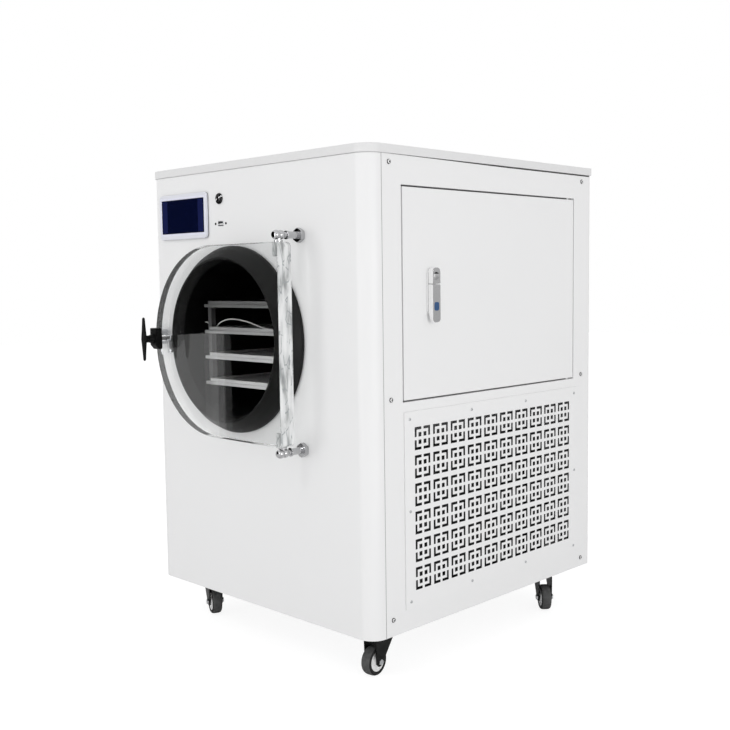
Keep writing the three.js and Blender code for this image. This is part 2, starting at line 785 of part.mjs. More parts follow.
// Rack: four posts, a pair of ledges under each shelf and two ties at the back
function buildRack() {
  const halfRack = rackWidth / 2;
  const reach = chamberBore * Math.cos(Math.PI / chamberFacets) - fitGap;
  const z0 = floorOf(chamberZ) - Math.sqrt(reach * reach - halfRack * halfRack);
  const z1 = floorOf(shelfTopZ) + trayHeight;
  const parts = [];
  for (const x of [rackLeft, rackRight - postSize]) {
    for (const y of [rackFrontY, rackRearY - postSize]) {
      parts.push(block(x, x + postSize, y, y + postSize, z0, z1));
    }
    for (let i = 0; i < shelfCount; i += 1) {
      const top = floorOf(shelfTopZ - i * shelfPitch) - shelfThickness - seat;
      const inner = x === rackLeft ? [x + 2, x + postSize + ledge] : [x - ledge, x + postSize - 2];
      parts.push(block(inner[0], inner[1], rackFrontY + 1, rackRearY - 1,
        top - ledgeThickness, top));
    }
  }
  for (const z of [z0 + 1, z1 - 12]) {
    parts.push(block(rackLeft + 1, rackRight - 1, rackRearY - 8, rackRearY - 2, z, z + 10));
  }
  return join(...parts);
}

// Shelf: a plate that slides in between the posts, as wide as the rack in front of them
function buildShelf(top) {
  const side = postSize + fitGap;
  const low = top - shelfThickness;
  return join(
    block(rackLeft + side, rackRight - side, shelfFrontY, rackRearY - 9, low, top),
    block(rackLeft, rackRight, shelfFrontY, shelfFrontY + shelfLip, low, top));
}

// Tray: a shallow pan with a turned-out rim
function buildTray(top) {
  const side = postSize + fitGap + trayMargin;
  const [x0, x1] = [rackLeft + side, rackRight - side];
  const [y0, y1] = [shelfFrontY + 1, rackRearY - 16];
  const z = top + seat;
  return cut(
    block(x0, x1, y0, y1, z, z + trayHeight),
    block(x0 + traySheet, x1 - traySheet, y0 + traySheet, y1 - traySheet,
      z + traySheet, z + trayHeight + 1));
}

addPiece('shelf_rack', buildRack(), stainless);
for (let i = 0; i < shelfCount; i += 1) {
  const top = floorOf(shelfTopZ - i * shelfPitch);
  addPiece(`shelf_${i + 1}`, buildShelf(top), stainless);
  addPiece(`tray_${i + 1}`, buildTray(top), stainless);
}

// ---------------------------------------------------------------- probe lead

// Route of the lead: out of the boss, down past the rack's post, up over the rim of the
// second tray and down to its floor; [right, back, up] from the boss's end
const leadRoute = [
  [seat, 0, 0], [5.5, 0, -0.4], [10.5, 0, -3.2], [13.5, 0, -8.5], [15.2, 0, -14.5],
  [17.3, 0, -20.1], [20.5, 0, -22.7], [24, 0, -21.7], [26.7, 0, -18], [29.7, 0, -13.3],
  [33.5, 0, -8.7], [38.5, 0, -4.5], [44.5, 0, -0.8], [53.5, 0.5, 2.8], [65.5, 1.5, 5.7],
  [78.5, 3, 6.6], [91.5, 4.5, 6], [104.5, 6, 4.3], [117.5, 7.5, 1.9], [129.5, 8.5, -1],
  [141.5, 9.5, -4.3], [152.5, 10.2, -7.2], [162.5, 10.7, -9.1], [171.5, 11, -9.7]];

function buildProbeLead() {
  const points = leadRoute.map(([right, back, up]) =>
    new THREE.Vector3(boss.x + right, boss.y + back, floorOf(boss.z + up)));
  const path = new THREE.CatmullRomCurve3(points, false, 'centripetal');
  const section = polygon(arc(0, 0, leadRadius, 0, 315, 7));
  return toSolid(new THREE.ExtrudeGeometry(section,
    { steps: 42, extrudePath: path, bevelEnabled: false }));
}

// Probe tip: a closed steel tube in line with the lead's last stretch
function buildProbeTip() {
  const [last, before] = [leadRoute.at(-1), leadRoute.at(-2)];
  const heading = Math.atan2(last[1] - before[1], last[0] - before[0]);
  const tip = barRight(0, 0, 2 * seat, tipLength, tipRadius, 10);
  return tip.rotate([0, 0, THREE.MathUtils.radToDeg(heading)])
    .translate([boss.x + last[0], boss.y + last[1], floorOf(boss.z + last[2])]);
}

addPiece('probe_lead', buildProbeLead(), leadWhite);
addPiece('probe_tip', buildProbeTip(), polishedSteel);

// ---------------------------------------------------------------- touch panel

function buildHmiHousing() {
  const [x, z] = [hmiX, floorOf(hmiZ)];
  const bezel = frontPrism(roundedRectangle(x, z, hmiWidth, hmiHeight, hmiRadius),
    inFront(seat), inFront(hmiProud));
  const body = frontPrism(roundedRectangle(x, z, hmiWidth - 2 * hmiBodyInset,
    hmiHeight - 2 * hmiBodyInset, 3, 1), frontY + hmiBodyDepth, inFront(1));
  const recess = frontPrism(rectangle(hmiX, floorOf(screenZ), screenWidth, screenHeight),
    inFront(hmiProud - screenRecess), inFront(hmiProud + 1));
  return cut(join(bezel, body), recess);
}

function buildScreen() {
  const yBack = inFront(hmiProud - screenRecess + seat);
  return frontPrism(rectangle(hmiX, floorOf(screenZ), screenWidth - 2 * seat,
    screenHeight - 2 * seat), yBack, yBack - screenThickness);
}

addPiece('hmi_housing', buildHmiHousing(), whitePlastic);
addPiece('hmi_screen', buildScreen(), screenGlass);

// ---------------------------------------------------------------- power button and USB socket

function buildButtonBezel() {
  const bore = buttonRadius + seat;
  const profile = [
    [bore, -buttonBarrelDepth], [buttonBarrelRadius, -buttonBarrelDepth],
    [buttonBarrelRadius, seat], [buttonBezelRadius, seat], [buttonBezelRadius, 1.6],
    [buttonBezelRadius - 1.2, buttonBezelHeight], [bore, buttonBezelHeight]];
  return turnedForward(profile, 16);
}

function buildButtonCap() {
  const crown = buttonBezelHeight + buttonTravel - 0.4;
  const profile = [[0, -10], [buttonRadius, -10], [buttonRadius, crown - 1.1],
    [buttonRadius - 1, crown - 0.3], [0, crown]];
  return turnedForward(profile, 16);
}

const buttonGroup = new THREE.Group();
buttonGroup.position.set(buttonX, frontY, floorOf(buttonZ));
model.add(buttonGroup);
addPiece('power_button_bezel', buildButtonBezel(), polishedSteel, buttonGroup);
addPiece('power_button', buildButtonCap(), polishedSteel, buttonGroup);

// USB socket: a shell through the panel on a plate behind it
function buildUsbSocket() {
  const [x, z] = [usbX, floorOf(usbZ)];
  const plateBack = frontY + fasciaSheet + seat;
  const shell = frontPrism(rectangle(x, z, usbWidth, usbHeight), frontY + usbDepth, inFront(0.6));
  const plate = frontPrism(rectangle(x, z, usbPlateWidth, usbPlateHeight),
    plateBack + sheet, plateBack);
  const cavity = frontPrism(rectangle(x, z, usbWidth - 2 * usbWall, usbHeight - 2 * usbWall),
    frontY + usbDepth - usbWall, inFront(2));
  return cut(join(shell, plate), cavity);
}

addPiece('usb_socket', buildUsbSocket(), stainless);

// ---------------------------------------------------------------- hinge posts

// Post: hexagon nut at the panel, rod, collar and two ball nuts at its end
function buildHingePost(towardsDoor) {
  const pinPlace = doorMiddleOffset;
  const ball = postBallRadius;
  const first = pinPlace - postBallSpacing / 2;
  const second = pinPlace + postBallSpacing / 2;
  const neck = ball * 0.62;
  const collarBack = postCollarFront - postCollarLength;
  const profile = [
    [0, postNutLength - 1], [postRodRadius, postNutLength - 1],
    [postRodRadius, collarBack], [postCollarRadius, collarBack + 0.6],
    [postCollarRadius, postCollarFront - 0.6], [neck, postCollarFront],
    [neck, first - ball * 0.8], [ball * 0.88, first - ball * 0.48],
    [ball, first], [ball * 0.88, first + ball * 0.44],
    [ball * 0.66, pinPlace], [ball * 0.88, second - ball * 0.44],
    [ball, second], [ball * 0.88, second + ball * 0.48],
    [ball * 0.6, second + ball * 0.76], [0, second + ball * 0.76]];
  const rod = turnedForward(profile, 12);
  const nutShape = new THREE.Shape();
  const corner = postNutFlats / Math.sqrt(3);
  for (let i = 0; i < 6; i += 1) {
    const angle = Math.PI * (i / 3 + 1 / 6);
    const point = [Math.cos(angle) * corner, Math.sin(angle) * corner];
    if (i === 0) nutShape.moveTo(...point);
    else nutShape.lineTo(...point);
  }
  const nut = frontPrism(nutShape, -seat, -postNutLength);
  const length = hingeOffset + pinDepth;
  const pin = barUp(0, -pinPlace, Math.min(0, towardsDoor * length),
    Math.max(0, towardsDoor * length), pinRadius, 12);
  const solid = join(rod, nut, pin);
  if (towardsDoor < 0) return solid;
  const top = hingeOffset - seat;
  return join(solid, barUp(0, -pinPlace, top - 3, top, shoulderRadius, 12));
}

for (const [name, towardsDoor] of [['hinge_post_top', -1], ['hinge_post_bottom', 1]]) {
  const z = towardsDoor < 0 ? doorTopZ + hingeOffset : doorBottomZ - hingeOffset;
  const post = addPiece(name, buildHingePost(towardsDoor), polishedSteel);
  post.position.set(hingeX, frontY, z);
}

// ---------------------------------------------------------------- clear door

// Outline: a half circle on the latch side, straight edges to the hinge side
function doorOutline() {
  const z = floorOf(doorCentreZ);
  const [radius, right] = [doorRadius - doorBevel, doorRightX - doorBevel];
  const corner = doorCornerRadius;
  return polygon([...arc(right - corner, z - radius + corner, corner, -90, 0, 3),
    ...arc(right - corner, z + radius - corner, corner, 0, 90, 3),
    ...arc(doorCentreX, z, radius, 90, 270, 30)]);
}

function buildChamberDoor() {
  const geometry = new THREE.ExtrudeGeometry(doorOutline(), {
    depth: doorThickness - 2 * doorBevel, bevelThickness: doorBevel, bevelSize: doorBevel,
    bevelSegments: 1 });
  const back = inFront(doorBackOffset + doorBevel);
  const plate = toSolid(geometry.rotateX(Math.PI / 2).translate(0, back, 0));
  const y = inFront(doorMiddleOffset);
  const depth = pinDepth + 1;
  return cut(plate,
    barUp(hingeX, y, doorTopZ - depth, doorTopZ + 1, pinBoreRadius, 12),
    barUp(hingeX, y, doorBottomZ - 1, doorBottomZ + depth, pinBoreRadius, 12),
    barForward(latchX, floorOf(latchZ), inFront(doorBackOffset - 1), inFront(doorFrontOffset + 1),
      spindleBore, 12));
}

addPiece('chamber_door', buildChamberDoor(), clearAcrylic);

// ---------------------------------------------------------------- latch of the clear door

const blockBackOffset = doorFrontOffset + seat;
const blockFrontOffset = blockBackOffset + latchBlockDepth;

// Block: a moulded boss on the door with its lower front edge cut away
function buildLatchBlock() {
  const [back, front] = [inFront(blockBackOffset), inFront(blockFrontOffset)];
  const h = latchBlockHeight / 2;
  const side = polygon([[front, -h + 8], [front + 7, -h], [back - 1.5, -h], [back, -h + 3],
    [back, h - 3], [back - 1.5, h], [front + 1, h], [front, h - 1]]);
  const w = latchBlockWidth / 2;
  const body = sidePrism(side, -w, w).translate([latchX, 0, floorOf(latchZ)]);
  return cut(body, barForward(latchX, floorOf(latchZ), back + 1, front - 1, spindleBore, 12));
}

// Closed skin through rings of rounded sections [place, half width, half depth]
function loft(sections, around = 12) {
  const positions = [];
  const index = [];
  for (const [place, halfAcross, halfDeep] of sections) {
    for (let i = 0; i < around; i += 1) {
      const angle = (i + 0.5) * (Math.PI * 2 / around);
      positions.push(Math.cos(angle) * halfAcross, Math.sin(angle) * halfDeep, place);
    }
  }
  const last = sections.length - 1;
  for (let ring = 0; ring < last; ring += 1) {
    for (let i = 0; i < around; i += 1) {
      const [a, b] = [ring * around + i, ring * around + (i + 1) % around];
      index.push(a, b, b + around, a, b + around, a + around);
    }
  }
  for (let i = 1; i < around - 1; i += 1) {
    index.push(0, i + 1, i, last * around, last * around + i, last * around + i + 1);
  }
  const geometry = new THREE.BufferGeometry();
  geometry.setAttribute('position', new THREE.Float32BufferAttribute(positions, 3));
  geometry.setIndex(index);
  return toSolid(geometry);
}

// Wing knob: a hub with a bar that thins towards both rounded ends
function buildWingKnob() {
  const hubBack = blockFrontOffset + seat;
  const hubFront = hubBack + wingHubLength;
  const barPlace = hubFront + 2.6;
  const end = wingLength / 2;
  const bar = loft([[-end, 1.6, 1.2], [-end + 1.5, 2.9, 2], [-14, 4.9, 3], [-7, 6.2, 3.8],
    [7, 6.2, 3.8], [14, 4.9, 3], [end - 1.5, 2.9, 2], [end, 1.6, 1.2]]);
  const hub = turnedForward([[0, hubBack], [wingHubRadius, hubBack],
    [wingHubRadius, hubFront - 1], [wingHubRadius - 2, hubFront + 2], [0, hubFront + 2]], 20);
  return join(hub, bar.translate([0, -barPlace, 0]));
}

// Spindle: passes through block and door, with the pawl welded to its inner end
function buildLatchSpindle() {
  const rod = barForward(0, 0, -(pawlFront - pawlThickness), -blockFrontOffset, spindleRadius, 12);
  const w = pawlWidth / 2;
  const shape = polygon([...arc(0, -pawlLength + w, w, 180, 360, 6), ...arc(0, 0, w, 0, 180, 6)]);
  return join(rod, frontPrism(shape, -(pawlFront - pawlThickness), -pawlFront));
}

const latchGroup = new THREE.Group();
latchGroup.position.set(latchX, frontY, floorOf(latchZ));
model.add(latchGroup);
addPiece('latch_block', buildLatchBlock(), blackPlastic);
addPiece('wing_knob', buildWingKnob(), blackPlastic, latchGroup);
addPiece('latch_spindle', buildLatchSpindle(), polishedSteel, latchGroup);

// Keeper: a Z-shaped plate on the panel that the pawl turns behind
function buildKeeper() {
  const lipBack = inFront(pawlFront + keeperGap);
  const lipFront = lipBack - keeperPlate;
  const [x0, x1] = [keeperOuterX, keeperOuterX + keeperLip];
  const [foot, web] = [inFront(seat), x0 + 6];
  const shape = polygon([[x0, lipFront], [x1, lipFront], [x1, lipBack], [web, lipBack],
    [web, foot], [x0 - 14, foot], [x0 - 14, foot - keeperPlate], [x0, foot - keeperPlate]]);
  const z = floorOf(latchZ);
  return planPrism(shape, z - keeperHeight / 2, z + keeperHeight / 2);
}

addPiece('latch_keeper', buildKeeper(), polishedSteel);

// ---------------------------------------------------------------- service door

// Door pan: face sheet with folded edges and the two pivot pins
function buildServiceDoor() {
  const [y, z] = [serviceMiddleY, floorOf(serviceMiddleZ)];
  const outline = (inset) => rectangle(y, z, serviceWidth - 2 * inset, serviceHeight - 2 * inset);
  const pan = cut(
    sidePrism(outline(0), halfWidth - serviceReturn, halfWidth),
    sidePrism(outline(sheet), halfWidth - serviceReturn - 1, halfWidth - sheet));
  const [pinX, pinY] = [halfWidth - pivotDepth, serviceRearY - pivotInset];
  const pins = [[serviceTopZ - 6, serviceTopZ + 6], [serviceBottomZ - 6, serviceBottomZ + 6]]
    .map(([z0, z1]) => barUp(pinX, pinY, floorOf(z0), floorOf(z1), pivotPinRadius, 12));
  return cut(join(pan, ...pins),
    barRight(lockY, floorOf(lockZ), halfWidth - serviceReturn, halfWidth + 1,
      lockSpindleRadius + fitGap));
}

addPiece('service_door', buildServiceDoor(), whitePaint);

// ---------------------------------------------------------------- push-button lock

// Lock pieces are drawn with Y and Z from the button's axis and X from the door's face
const lockGroup = new THREE.Group();
lockGroup.position.set(halfWidth, lockY, floorOf(lockZ));
model.add(lockGroup);

const plateFace = seat + lockPlate;
const leverBack = plateFace + seat;
const leverFace = leverBack + lockThickness;
const leverBottom = lockTop - lockLength;

// Capsule outline between two heights, rounded where it is named
function capsule(low, high, width, roundLow, roundHigh) {
  const w = width / 2;
  const r = w * 0.7;
  const ends = [
    roundLow ? arc(-w + r, low + r, r, 180, 270, 4) : [[-w, low]],
    roundLow ? arc(w - r, low + r, r, 270, 360, 4) : [[w, low]],
    roundHigh ? arc(w - r, high - r, r, 0, 90, 4) : [[w, high]],
    roundHigh ? arc(-w + r, high - r, r, 90, 180, 4) : [[-w, high]]];
  return polygon(ends.flat());
}

function buildLockPlate() {
  const plate = sidePrism(capsule(leverBottom + leverHeel, lockTop, lockWidth, false, true),
    seat, plateFace);
  return cut(plate, barRight(0, 0, -1, plateFace + 1, lockSpindleRadius + fitGap));
}

// Rotor: the head round the button, with the spindle through the door and the cam
function buildLockRotor() {
  const head = sidePrism(capsule(-leverSplit + 1, lockTop, lockWidth, false, true),
    leverBack, leverFace);
  const camFace = -openingReturn - seat;
  const spindle = barRight(0, 0, camFace - camThickness, leverBack + 2, lockSpindleRadius);
  const cam = sidePrism(capsule(-camLength, camWidth / 2, camWidth, true, true),
    camFace - camThickness, camFace);
  const bore = barRight(0, 0, leverBack + 3, leverFace + 1, lockButtonRadius + seat, 16);
  return cut(join(head, spindle, cam), bore);
}

function buildLever() {
  const profile = polygon([[leverBack, -leverSplit], [leverBack, leverBottom + leverHeel],
    [leverFace - 5, leverBottom + 1], [leverFace - 3.6, leverBottom],
    [leverFace - 1, leverBottom], [leverFace, leverBottom + 1.5], [leverFace, -leverSplit - 1.5],
    [leverFace - 1, -leverSplit]]);
  const side = extrude(profile, lockWidth).rotateX(Math.PI / 2).translate(0, lockWidth / 2, 0);
  const outline = sidePrism(capsule(leverBottom, 0, lockWidth, true, false),
    leverBack - 1, leverFace + 1);
  return toSolid(side).intersect(outline);
}

function buildLockButton() {
  const [back, front] = [leverBack + 3 + lockButtonTravel + seat, leverFace + lockButtonProud];
  return turnedRight([[0, back], [lockButtonRadius, back], [lockButtonRadius, front - 0.8],
    [lockButtonRadius - 0.8, front], [0, front]], 16);
}

addPiece('lock_plate', buildLockPlate(), lockChrome, lockGroup);
addPiece('lock_rotor', buildLockRotor(), lockChrome, lockGroup);
addPiece('lock_lever', buildLever(), lockChrome, lockGroup);
addPiece('lock_button', buildLockButton(), lockChrome, lockGroup);

// ---------------------------------------------------------------- casters

const plateBottomZ = casterHeight - seat - casterPlateThickness;
const racewayBottomZ = plateBottomZ - racewayHeight;
const forkTopZ = racewayBottomZ - seat;

function buildCasterPlate() {
  const plate = planPrism(roundedRectangle(0, 0, casterPlate, casterPlate, 5, 1),
    plateBottomZ, plateBottomZ + casterPlateThickness);
  return join(plate, barUp(0, 0, racewayBottomZ, plateBottomZ + 1, racewayRadius, 16));
}

// Fork: crown, two tapered legs and the riveted axle; its wheel trails along +X
function buildFork() {
  const crown = barUp(0, 0, forkTopZ - forkSheet, forkTopZ, forkTopRadius, 12);
  const inner = wheelWidth / 2 + forkGap;
  const outer = inner + forkSheet;
  const top = polygon([[-6, -outer], [casterOffset + 9, -outer], [casterOffset + 9, outer],
    [-6, outer]]);
  const legShape = polygon([[-16, forkTopZ], [-16, forkTopZ - 7], [casterOffset - 8, wheelRadius - 4],
    [casterOffset - 3, wheelRadius - 8], [casterOffset + 3, wheelRadius - 8],
    [casterOffset + 8, wheelRadius - 3], [casterOffset + 10, forkTopZ - 8],
    [casterOffset + 9, forkTopZ]]);
  const legs = [-outer, inner].map((y) =>
    toSolid(extrude(legShape, forkSheet).rotateX(Math.PI / 2).translate(0, y + forkSheet, 0)));
  const axle = barForward(casterOffset, wheelRadius, outer + 2.5, -outer - 2.5, axleRadius, 8);
  return join(crown, planPrism(top, forkTopZ - forkSheet, forkTopZ), ...legs, axle);
}

function buildWheel() {
  const w = wheelWidth / 2;
  const r = wheelRadius;
  const profile = [[wheelBore, -w], [r - 7, -w + 1.2], [r - 3, -w + 0.6], [r, -w + 4.5],
    [r, w - 4.5], [r - 3, w - 0.6], [r - 7, w - 1.2], [wheelBore, w]];
  return toSolid(turned(profile, 20));
}

for (const [corner, heading] of Object.entries(casterHeadings)) {
  const [x, y] = [corner.endsWith('right') ? casterX : -casterX,
    corner.startsWith('rear') ? casterY : -casterY];
  const plate = addPiece(`caster_plate_${corner}`, buildCasterPlate(), blackSteel);
  plate.position.set(x, y, 0);
  const swivel = new THREE.Group();
  swivel.position.set(x, y, 0);
  swivel.rotation.z = THREE.MathUtils.degToRad(heading);
  model.add(swivel);
  addPiece(`caster_fork_${corner}`, buildFork(), blackSteel, swivel);
  const wheel = addPiece(`caster_wheel_${corner}`, buildWheel(), tyreBlack, swivel);
  wheel.position.set(casterOffset, 0, wheelRadius);
}

// ---------------------------------------------------------------- machinery

// Compressor: a welded can with its seam, on a base plate with four rubber feet
function buildCompressor() {
  const z0 = standZ;
  const r = compressorRadius;
  const h = compressorHeight;
  const seamZ = z0 + h * 0.55;
  const rim = r * 0.06;
  const can = turnedUp([[0, z0 + h * 0.08], [r * 0.8, z0 + h * 0.08], [r, z0 + h * 0.19],
    [r, seamZ], [r + rim, seamZ], [r + rim, seamZ + rim], [r, seamZ + rim],
    [r * 0.96, z0 + h * 0.85], [r * 0.6, z0 + h * 0.97], [0, z0 + h]], 20);
  const plateTop = z0 + compressorPlateLow + compressorPlate;
  const plate = block(-r, r, -r, r, z0 + compressorPlateLow, plateTop);
  const corner = r - footRadius - 3;
  const feet = [-1, 1].flatMap((a) => [-1, 1].map((b) =>
    barUp(a * corner, b * corner, z0, z0 + compressorPlateLow + 1, footRadius, 12)));
  const box = block(r * 0.93, r * 1.32, -r * 0.34, r * 0.34, z0 + h * 0.29, z0 + h * 0.63);
  return join(can, plate, box, ...feet).translate([compressorX, compressorY, 0]);
}

// Condenser: a finned block between two end plates, behind the grille
function buildCondenser() {
  const z0 = standZ;
  const top = z0 + condenserHeight;
  const [half, deep] = [condenserWidth / 2, condenserDepth / 2];
  const shape = [];
  const pitch = condenserWidth / finCount;
  for (let i = 0; i < finCount; i += 1) {
    const y = -half + i * pitch;
    shape.push([deep, y], [deep, y + pitch * 0.6], [deep - finRoot, y + pitch * 0.6],
      [deep - finRoot, y + pitch]);
  }
  shape.push([-deep, half], [-deep, -half]);
  const fins = planPrism(polygon(shape), z0 + condenserPlate - 1, top - condenserPlate + 1);
  const plates = [z0, top - condenserPlate].map((z) =>
    block(-deep - condenserLip, deep + condenserLip, -half - condenserEnd, half + condenserEnd,
      z, z + condenserPlate));
  return join(fins, ...plates).translate([condenserX, fanY, 0]);
}

// Fan shroud: a plate with a round opening, and the motor on three arms
function buildShroud() {
  const z0 = standZ;
  const zFan = floorOf(fanZ);
  const [yLow, yHigh] = [fanY - shroudHalfWidth, fanY + shroudHalfWidth];
  const x0 = fanX + shroudToFan;
  const x1 = x0 + shroudGauge;
  const opening = fanRadius + shroudRing;
  const plate = block(x0, x1, yLow, yHigh, z0, z0 + condenserHeight);
  const foot = block(fanX - fanHubRadius / 2, x0 + 1, yLow, yHigh, z0, z0 + shroudGauge);
  const ring = cut(
    barRight(fanY, zFan, fanX - fanHubRadius - 2, x0 + 1, opening + 2, 24),
    barRight(fanY, zFan, fanX - fanHubRadius - 3, x1 + 1, opening, 24));
  const hole = barRight(fanY, zFan, fanX + fanHubRadius / 2, x1 + 1, opening, 24);
  const motor = barRight(fanY, zFan, fanX - motorBack, fanX - motorFront, motorRadius, 20);
  const shaft = barRight(fanY, zFan, fanX - motorFront - 1, fanX + shroudToFan - 6,
    shaftRadius, 12);
  const armLength = opening + 1 - motorRadius + armWidth;
  const arms = [0, 120, 240].map((degrees) => {
    const bar = new THREE.BoxGeometry(armWidth, armLength, armHeight)
      .translate(0, opening + 1 - armLength / 2, 0);
    const angle = THREE.MathUtils.degToRad(degrees + 90);
    return toSolid(bar.rotateX(angle).translate(fanX - motorFront - armWidth, fanY, zFan));
  });
  return join(cut(join(plate, foot), hole), ring, motor, shaft, ...arms);
}

function buildFanBlades() {
  const [back, front] = [-fanHubBack, fanHubFront];
  const hub = cut(barRight(0, 0, back, front, fanHubRadius, 20),
    barRight(0, 0, back - 1, front + 1, shaftRadius + fitGap - 0.1, 12));
  const blades = [];
  const length = fanRadius - fanHubRadius + 2;
  for (let i = 0; i < fanBladeCount; i += 1) {
    const blade = new THREE.BoxGeometry(fanBladeGauge, fanBladeChord, length)
      .rotateZ(THREE.MathUtils.degToRad(fanBladePitch))
      .translate(0, 0, fanHubRadius - 2 + length / 2);
    blades.push(toSolid(blade.rotateX(i * Math.PI * 2 / fanBladeCount)));
  }
  const trim = barRight(0, 0, back - 2, front + 1, fanRadius, 24);
  return join(hub, ...blades).intersect(trim);
}

const fanGroup = new THREE.Group();
fanGroup.position.set(fanX, fanY, floorOf(fanZ));
model.add(fanGroup);
addPiece('compressor', buildCompressor(), blackSteel);
addPiece('condenser', buildCondenser(), aluminium);
addPiece('fan_shroud', buildShroud(), zincSteel);
addPiece('fan_blades', buildFanBlades(), blackPlastic, fanGroup);

// Control plate: controller, supply, contactors and terminals on the divider.
// Modules are listed as [front, rear, low, high, depth], from the plate's front lower corner
function buildControls() {
  const x = dividerX + seat;
  const [y0, y1] = [frontY + controlFrontInset, halfDepth - controlRearInset];
  const z0 = floorOf(deckZ) + controlAboveDeck;
  const z1 = cabinetTopZ - controlBelowTop;
  const [wide, high] = [y1 - y0, z1 - z0];
  const plate = block(x, x + deckGauge, y0, y1, z0, z1);
  const modules = [
    [0.05, 0.42, 0.71, 0.94, controllerDepth],
    [0.47, 0.71, 0.68, 0.95, supplyDepth],
    [0.76, 0.96, 0.71, 0.92, driveDepth],
    [0.05, 0.18, 0.35, 0.58, contactorDepth],
    [0.21, 0.34, 0.35, 0.58, contactorDepth],
    [0.37, 0.49, 0.35, 0.58, contactorDepth],
    [0.55, 0.95, 0.32, 0.61, relayDepth],
    [0.04, 0.96, 0.08, 0.19, terminalDepth]];
  return join(plate, ...modules.map(([front, rear, low, top, deep]) =>
    block(x + 1, x + deep, y0 + wide * front, y0 + wide * rear, z0 + high * low,
      z0 + high * top)));
}

addPiece('control_plate', buildControls(), aluminium);

// Vacuum port: a pipe from the chamber's dished end to a clamp flange behind the cabinet
function buildVacuumPort() {
  const start = drumEndY + seat;
  const end = halfDepth + portProjection;
  const profile = [[portBore, start], [portRadius + 6, start],
    [portRadius + 6, start + portCollar], [portRadius, start + portCollar],
    [portRadius, end - 8], [portFlangeRadius, end - 4],
    [portFlangeRadius, end], [portBore, end]];
  return toSolid(turned(profile, 20)).translate([chamberX, 0, floorOf(chamberZ)]);
}

// Cable gland: a domed nut on the back panel, closed by its plug
function buildGland() {
  const [inside, outside] = [halfDepth - 2 * glandRadius, halfDepth + 20];
  const nut = glandRadius + 5;
  const profile = [[0, inside], [glandRadius, inside], [glandRadius, halfDepth + seat],
    [nut, halfDepth + seat], [nut, halfDepth + glandRadius], [glandRadius + 1, outside],
    [0, outside]];
  return toSolid(turned(profile, 12)).translate([glandX, 0, floorOf(glandZ)]);
}

addPiece('vacuum_port', buildVacuumPort(), stainless);
addPiece('cable_gland', buildGland(), blackPlastic);

// ---------------------------------------------------------------- frame of the part

// The outer box is centred on X and Y, and stands on Z = 0
const outerBox = new THREE.Box3().setFromObject(model);
const centre = outerBox.getCenter(new THREE.Vector3());
const part = new THREE.Group();
model.position.set(-centre.x, -centre.y, -outerBox.min.z);
part.add(model);

export default part;
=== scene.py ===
"""Studio picture of a laboratory freeze dryer: a white cabinet on casters, a vacuum chamber
behind a clear door, heated shelves with trays, a touch panel and a pierced side grille.
Blender script. Lengths are in metres, +Z is up, and the front faces -Y."""

import json
import math

import bmesh
import bpy
from mathutils import Matrix, Vector


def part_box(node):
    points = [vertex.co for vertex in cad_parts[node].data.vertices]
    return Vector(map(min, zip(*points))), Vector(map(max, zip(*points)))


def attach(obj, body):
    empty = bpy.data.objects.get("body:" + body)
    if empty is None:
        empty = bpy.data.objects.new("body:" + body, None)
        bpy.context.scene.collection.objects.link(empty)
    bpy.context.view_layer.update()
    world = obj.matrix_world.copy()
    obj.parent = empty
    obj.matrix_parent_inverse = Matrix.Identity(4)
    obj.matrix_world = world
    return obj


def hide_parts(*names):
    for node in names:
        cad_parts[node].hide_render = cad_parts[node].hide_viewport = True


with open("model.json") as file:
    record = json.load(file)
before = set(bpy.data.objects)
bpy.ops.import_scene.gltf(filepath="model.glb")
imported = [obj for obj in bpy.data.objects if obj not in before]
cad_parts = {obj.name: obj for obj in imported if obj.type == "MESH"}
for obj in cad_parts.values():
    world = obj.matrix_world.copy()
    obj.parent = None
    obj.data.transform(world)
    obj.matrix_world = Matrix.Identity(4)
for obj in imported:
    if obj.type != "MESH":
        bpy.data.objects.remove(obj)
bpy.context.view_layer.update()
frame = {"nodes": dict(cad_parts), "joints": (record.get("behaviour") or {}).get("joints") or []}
mm = 0.001

# ---- camera
# A camera with a normal lens stands off the front right corner of the cabinet, at three
# quarters of its height, and looks slightly down at it.

azimuth, elevation, roll = (math.radians(angle) for angle in (44.64, 4.89, -0.757))


def placed(name, data):
    """An object with this data, in the scene."""
    obj = bpy.data.objects.new(name, data)
    bpy.context.scene.collection.objects.link(obj)
    return obj


camera = placed("camera", bpy.data.cameras.new("camera"))
camera.data.sensor_width = 36
camera.data.lens = 50.17
camera.matrix_world = (
    Matrix.Translation((1.42125, -1.435815, 0.6770)) @ Matrix.Rotation(azimuth, 4, "Z")
    @ Matrix.Rotation(math.pi / 2 - elevation, 4, "X") @ Matrix.Rotation(roll, 4, "Z"))
bpy.context.scene.camera = camera
bpy.context.scene.view_settings.view_transform = "Standard"

# ---- probe lead
# A thin white lead leaves a boss in the chamber's wall, hangs, climbs over the rim of the
# second tray and ends in a steel probe that lies over the tray's floor.

front_low, front_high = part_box("front_panel")
cabinet = Vector(((front_low.x + front_high.x) / 2,
                  (front_low.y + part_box("back_panel")[1].y) / 2, front_low.z))


def at(x, y, z):
    """A point given in millimetres from the cabinet's centre and its underside."""
    return cabinet + Vector((x, y, z)) * mm


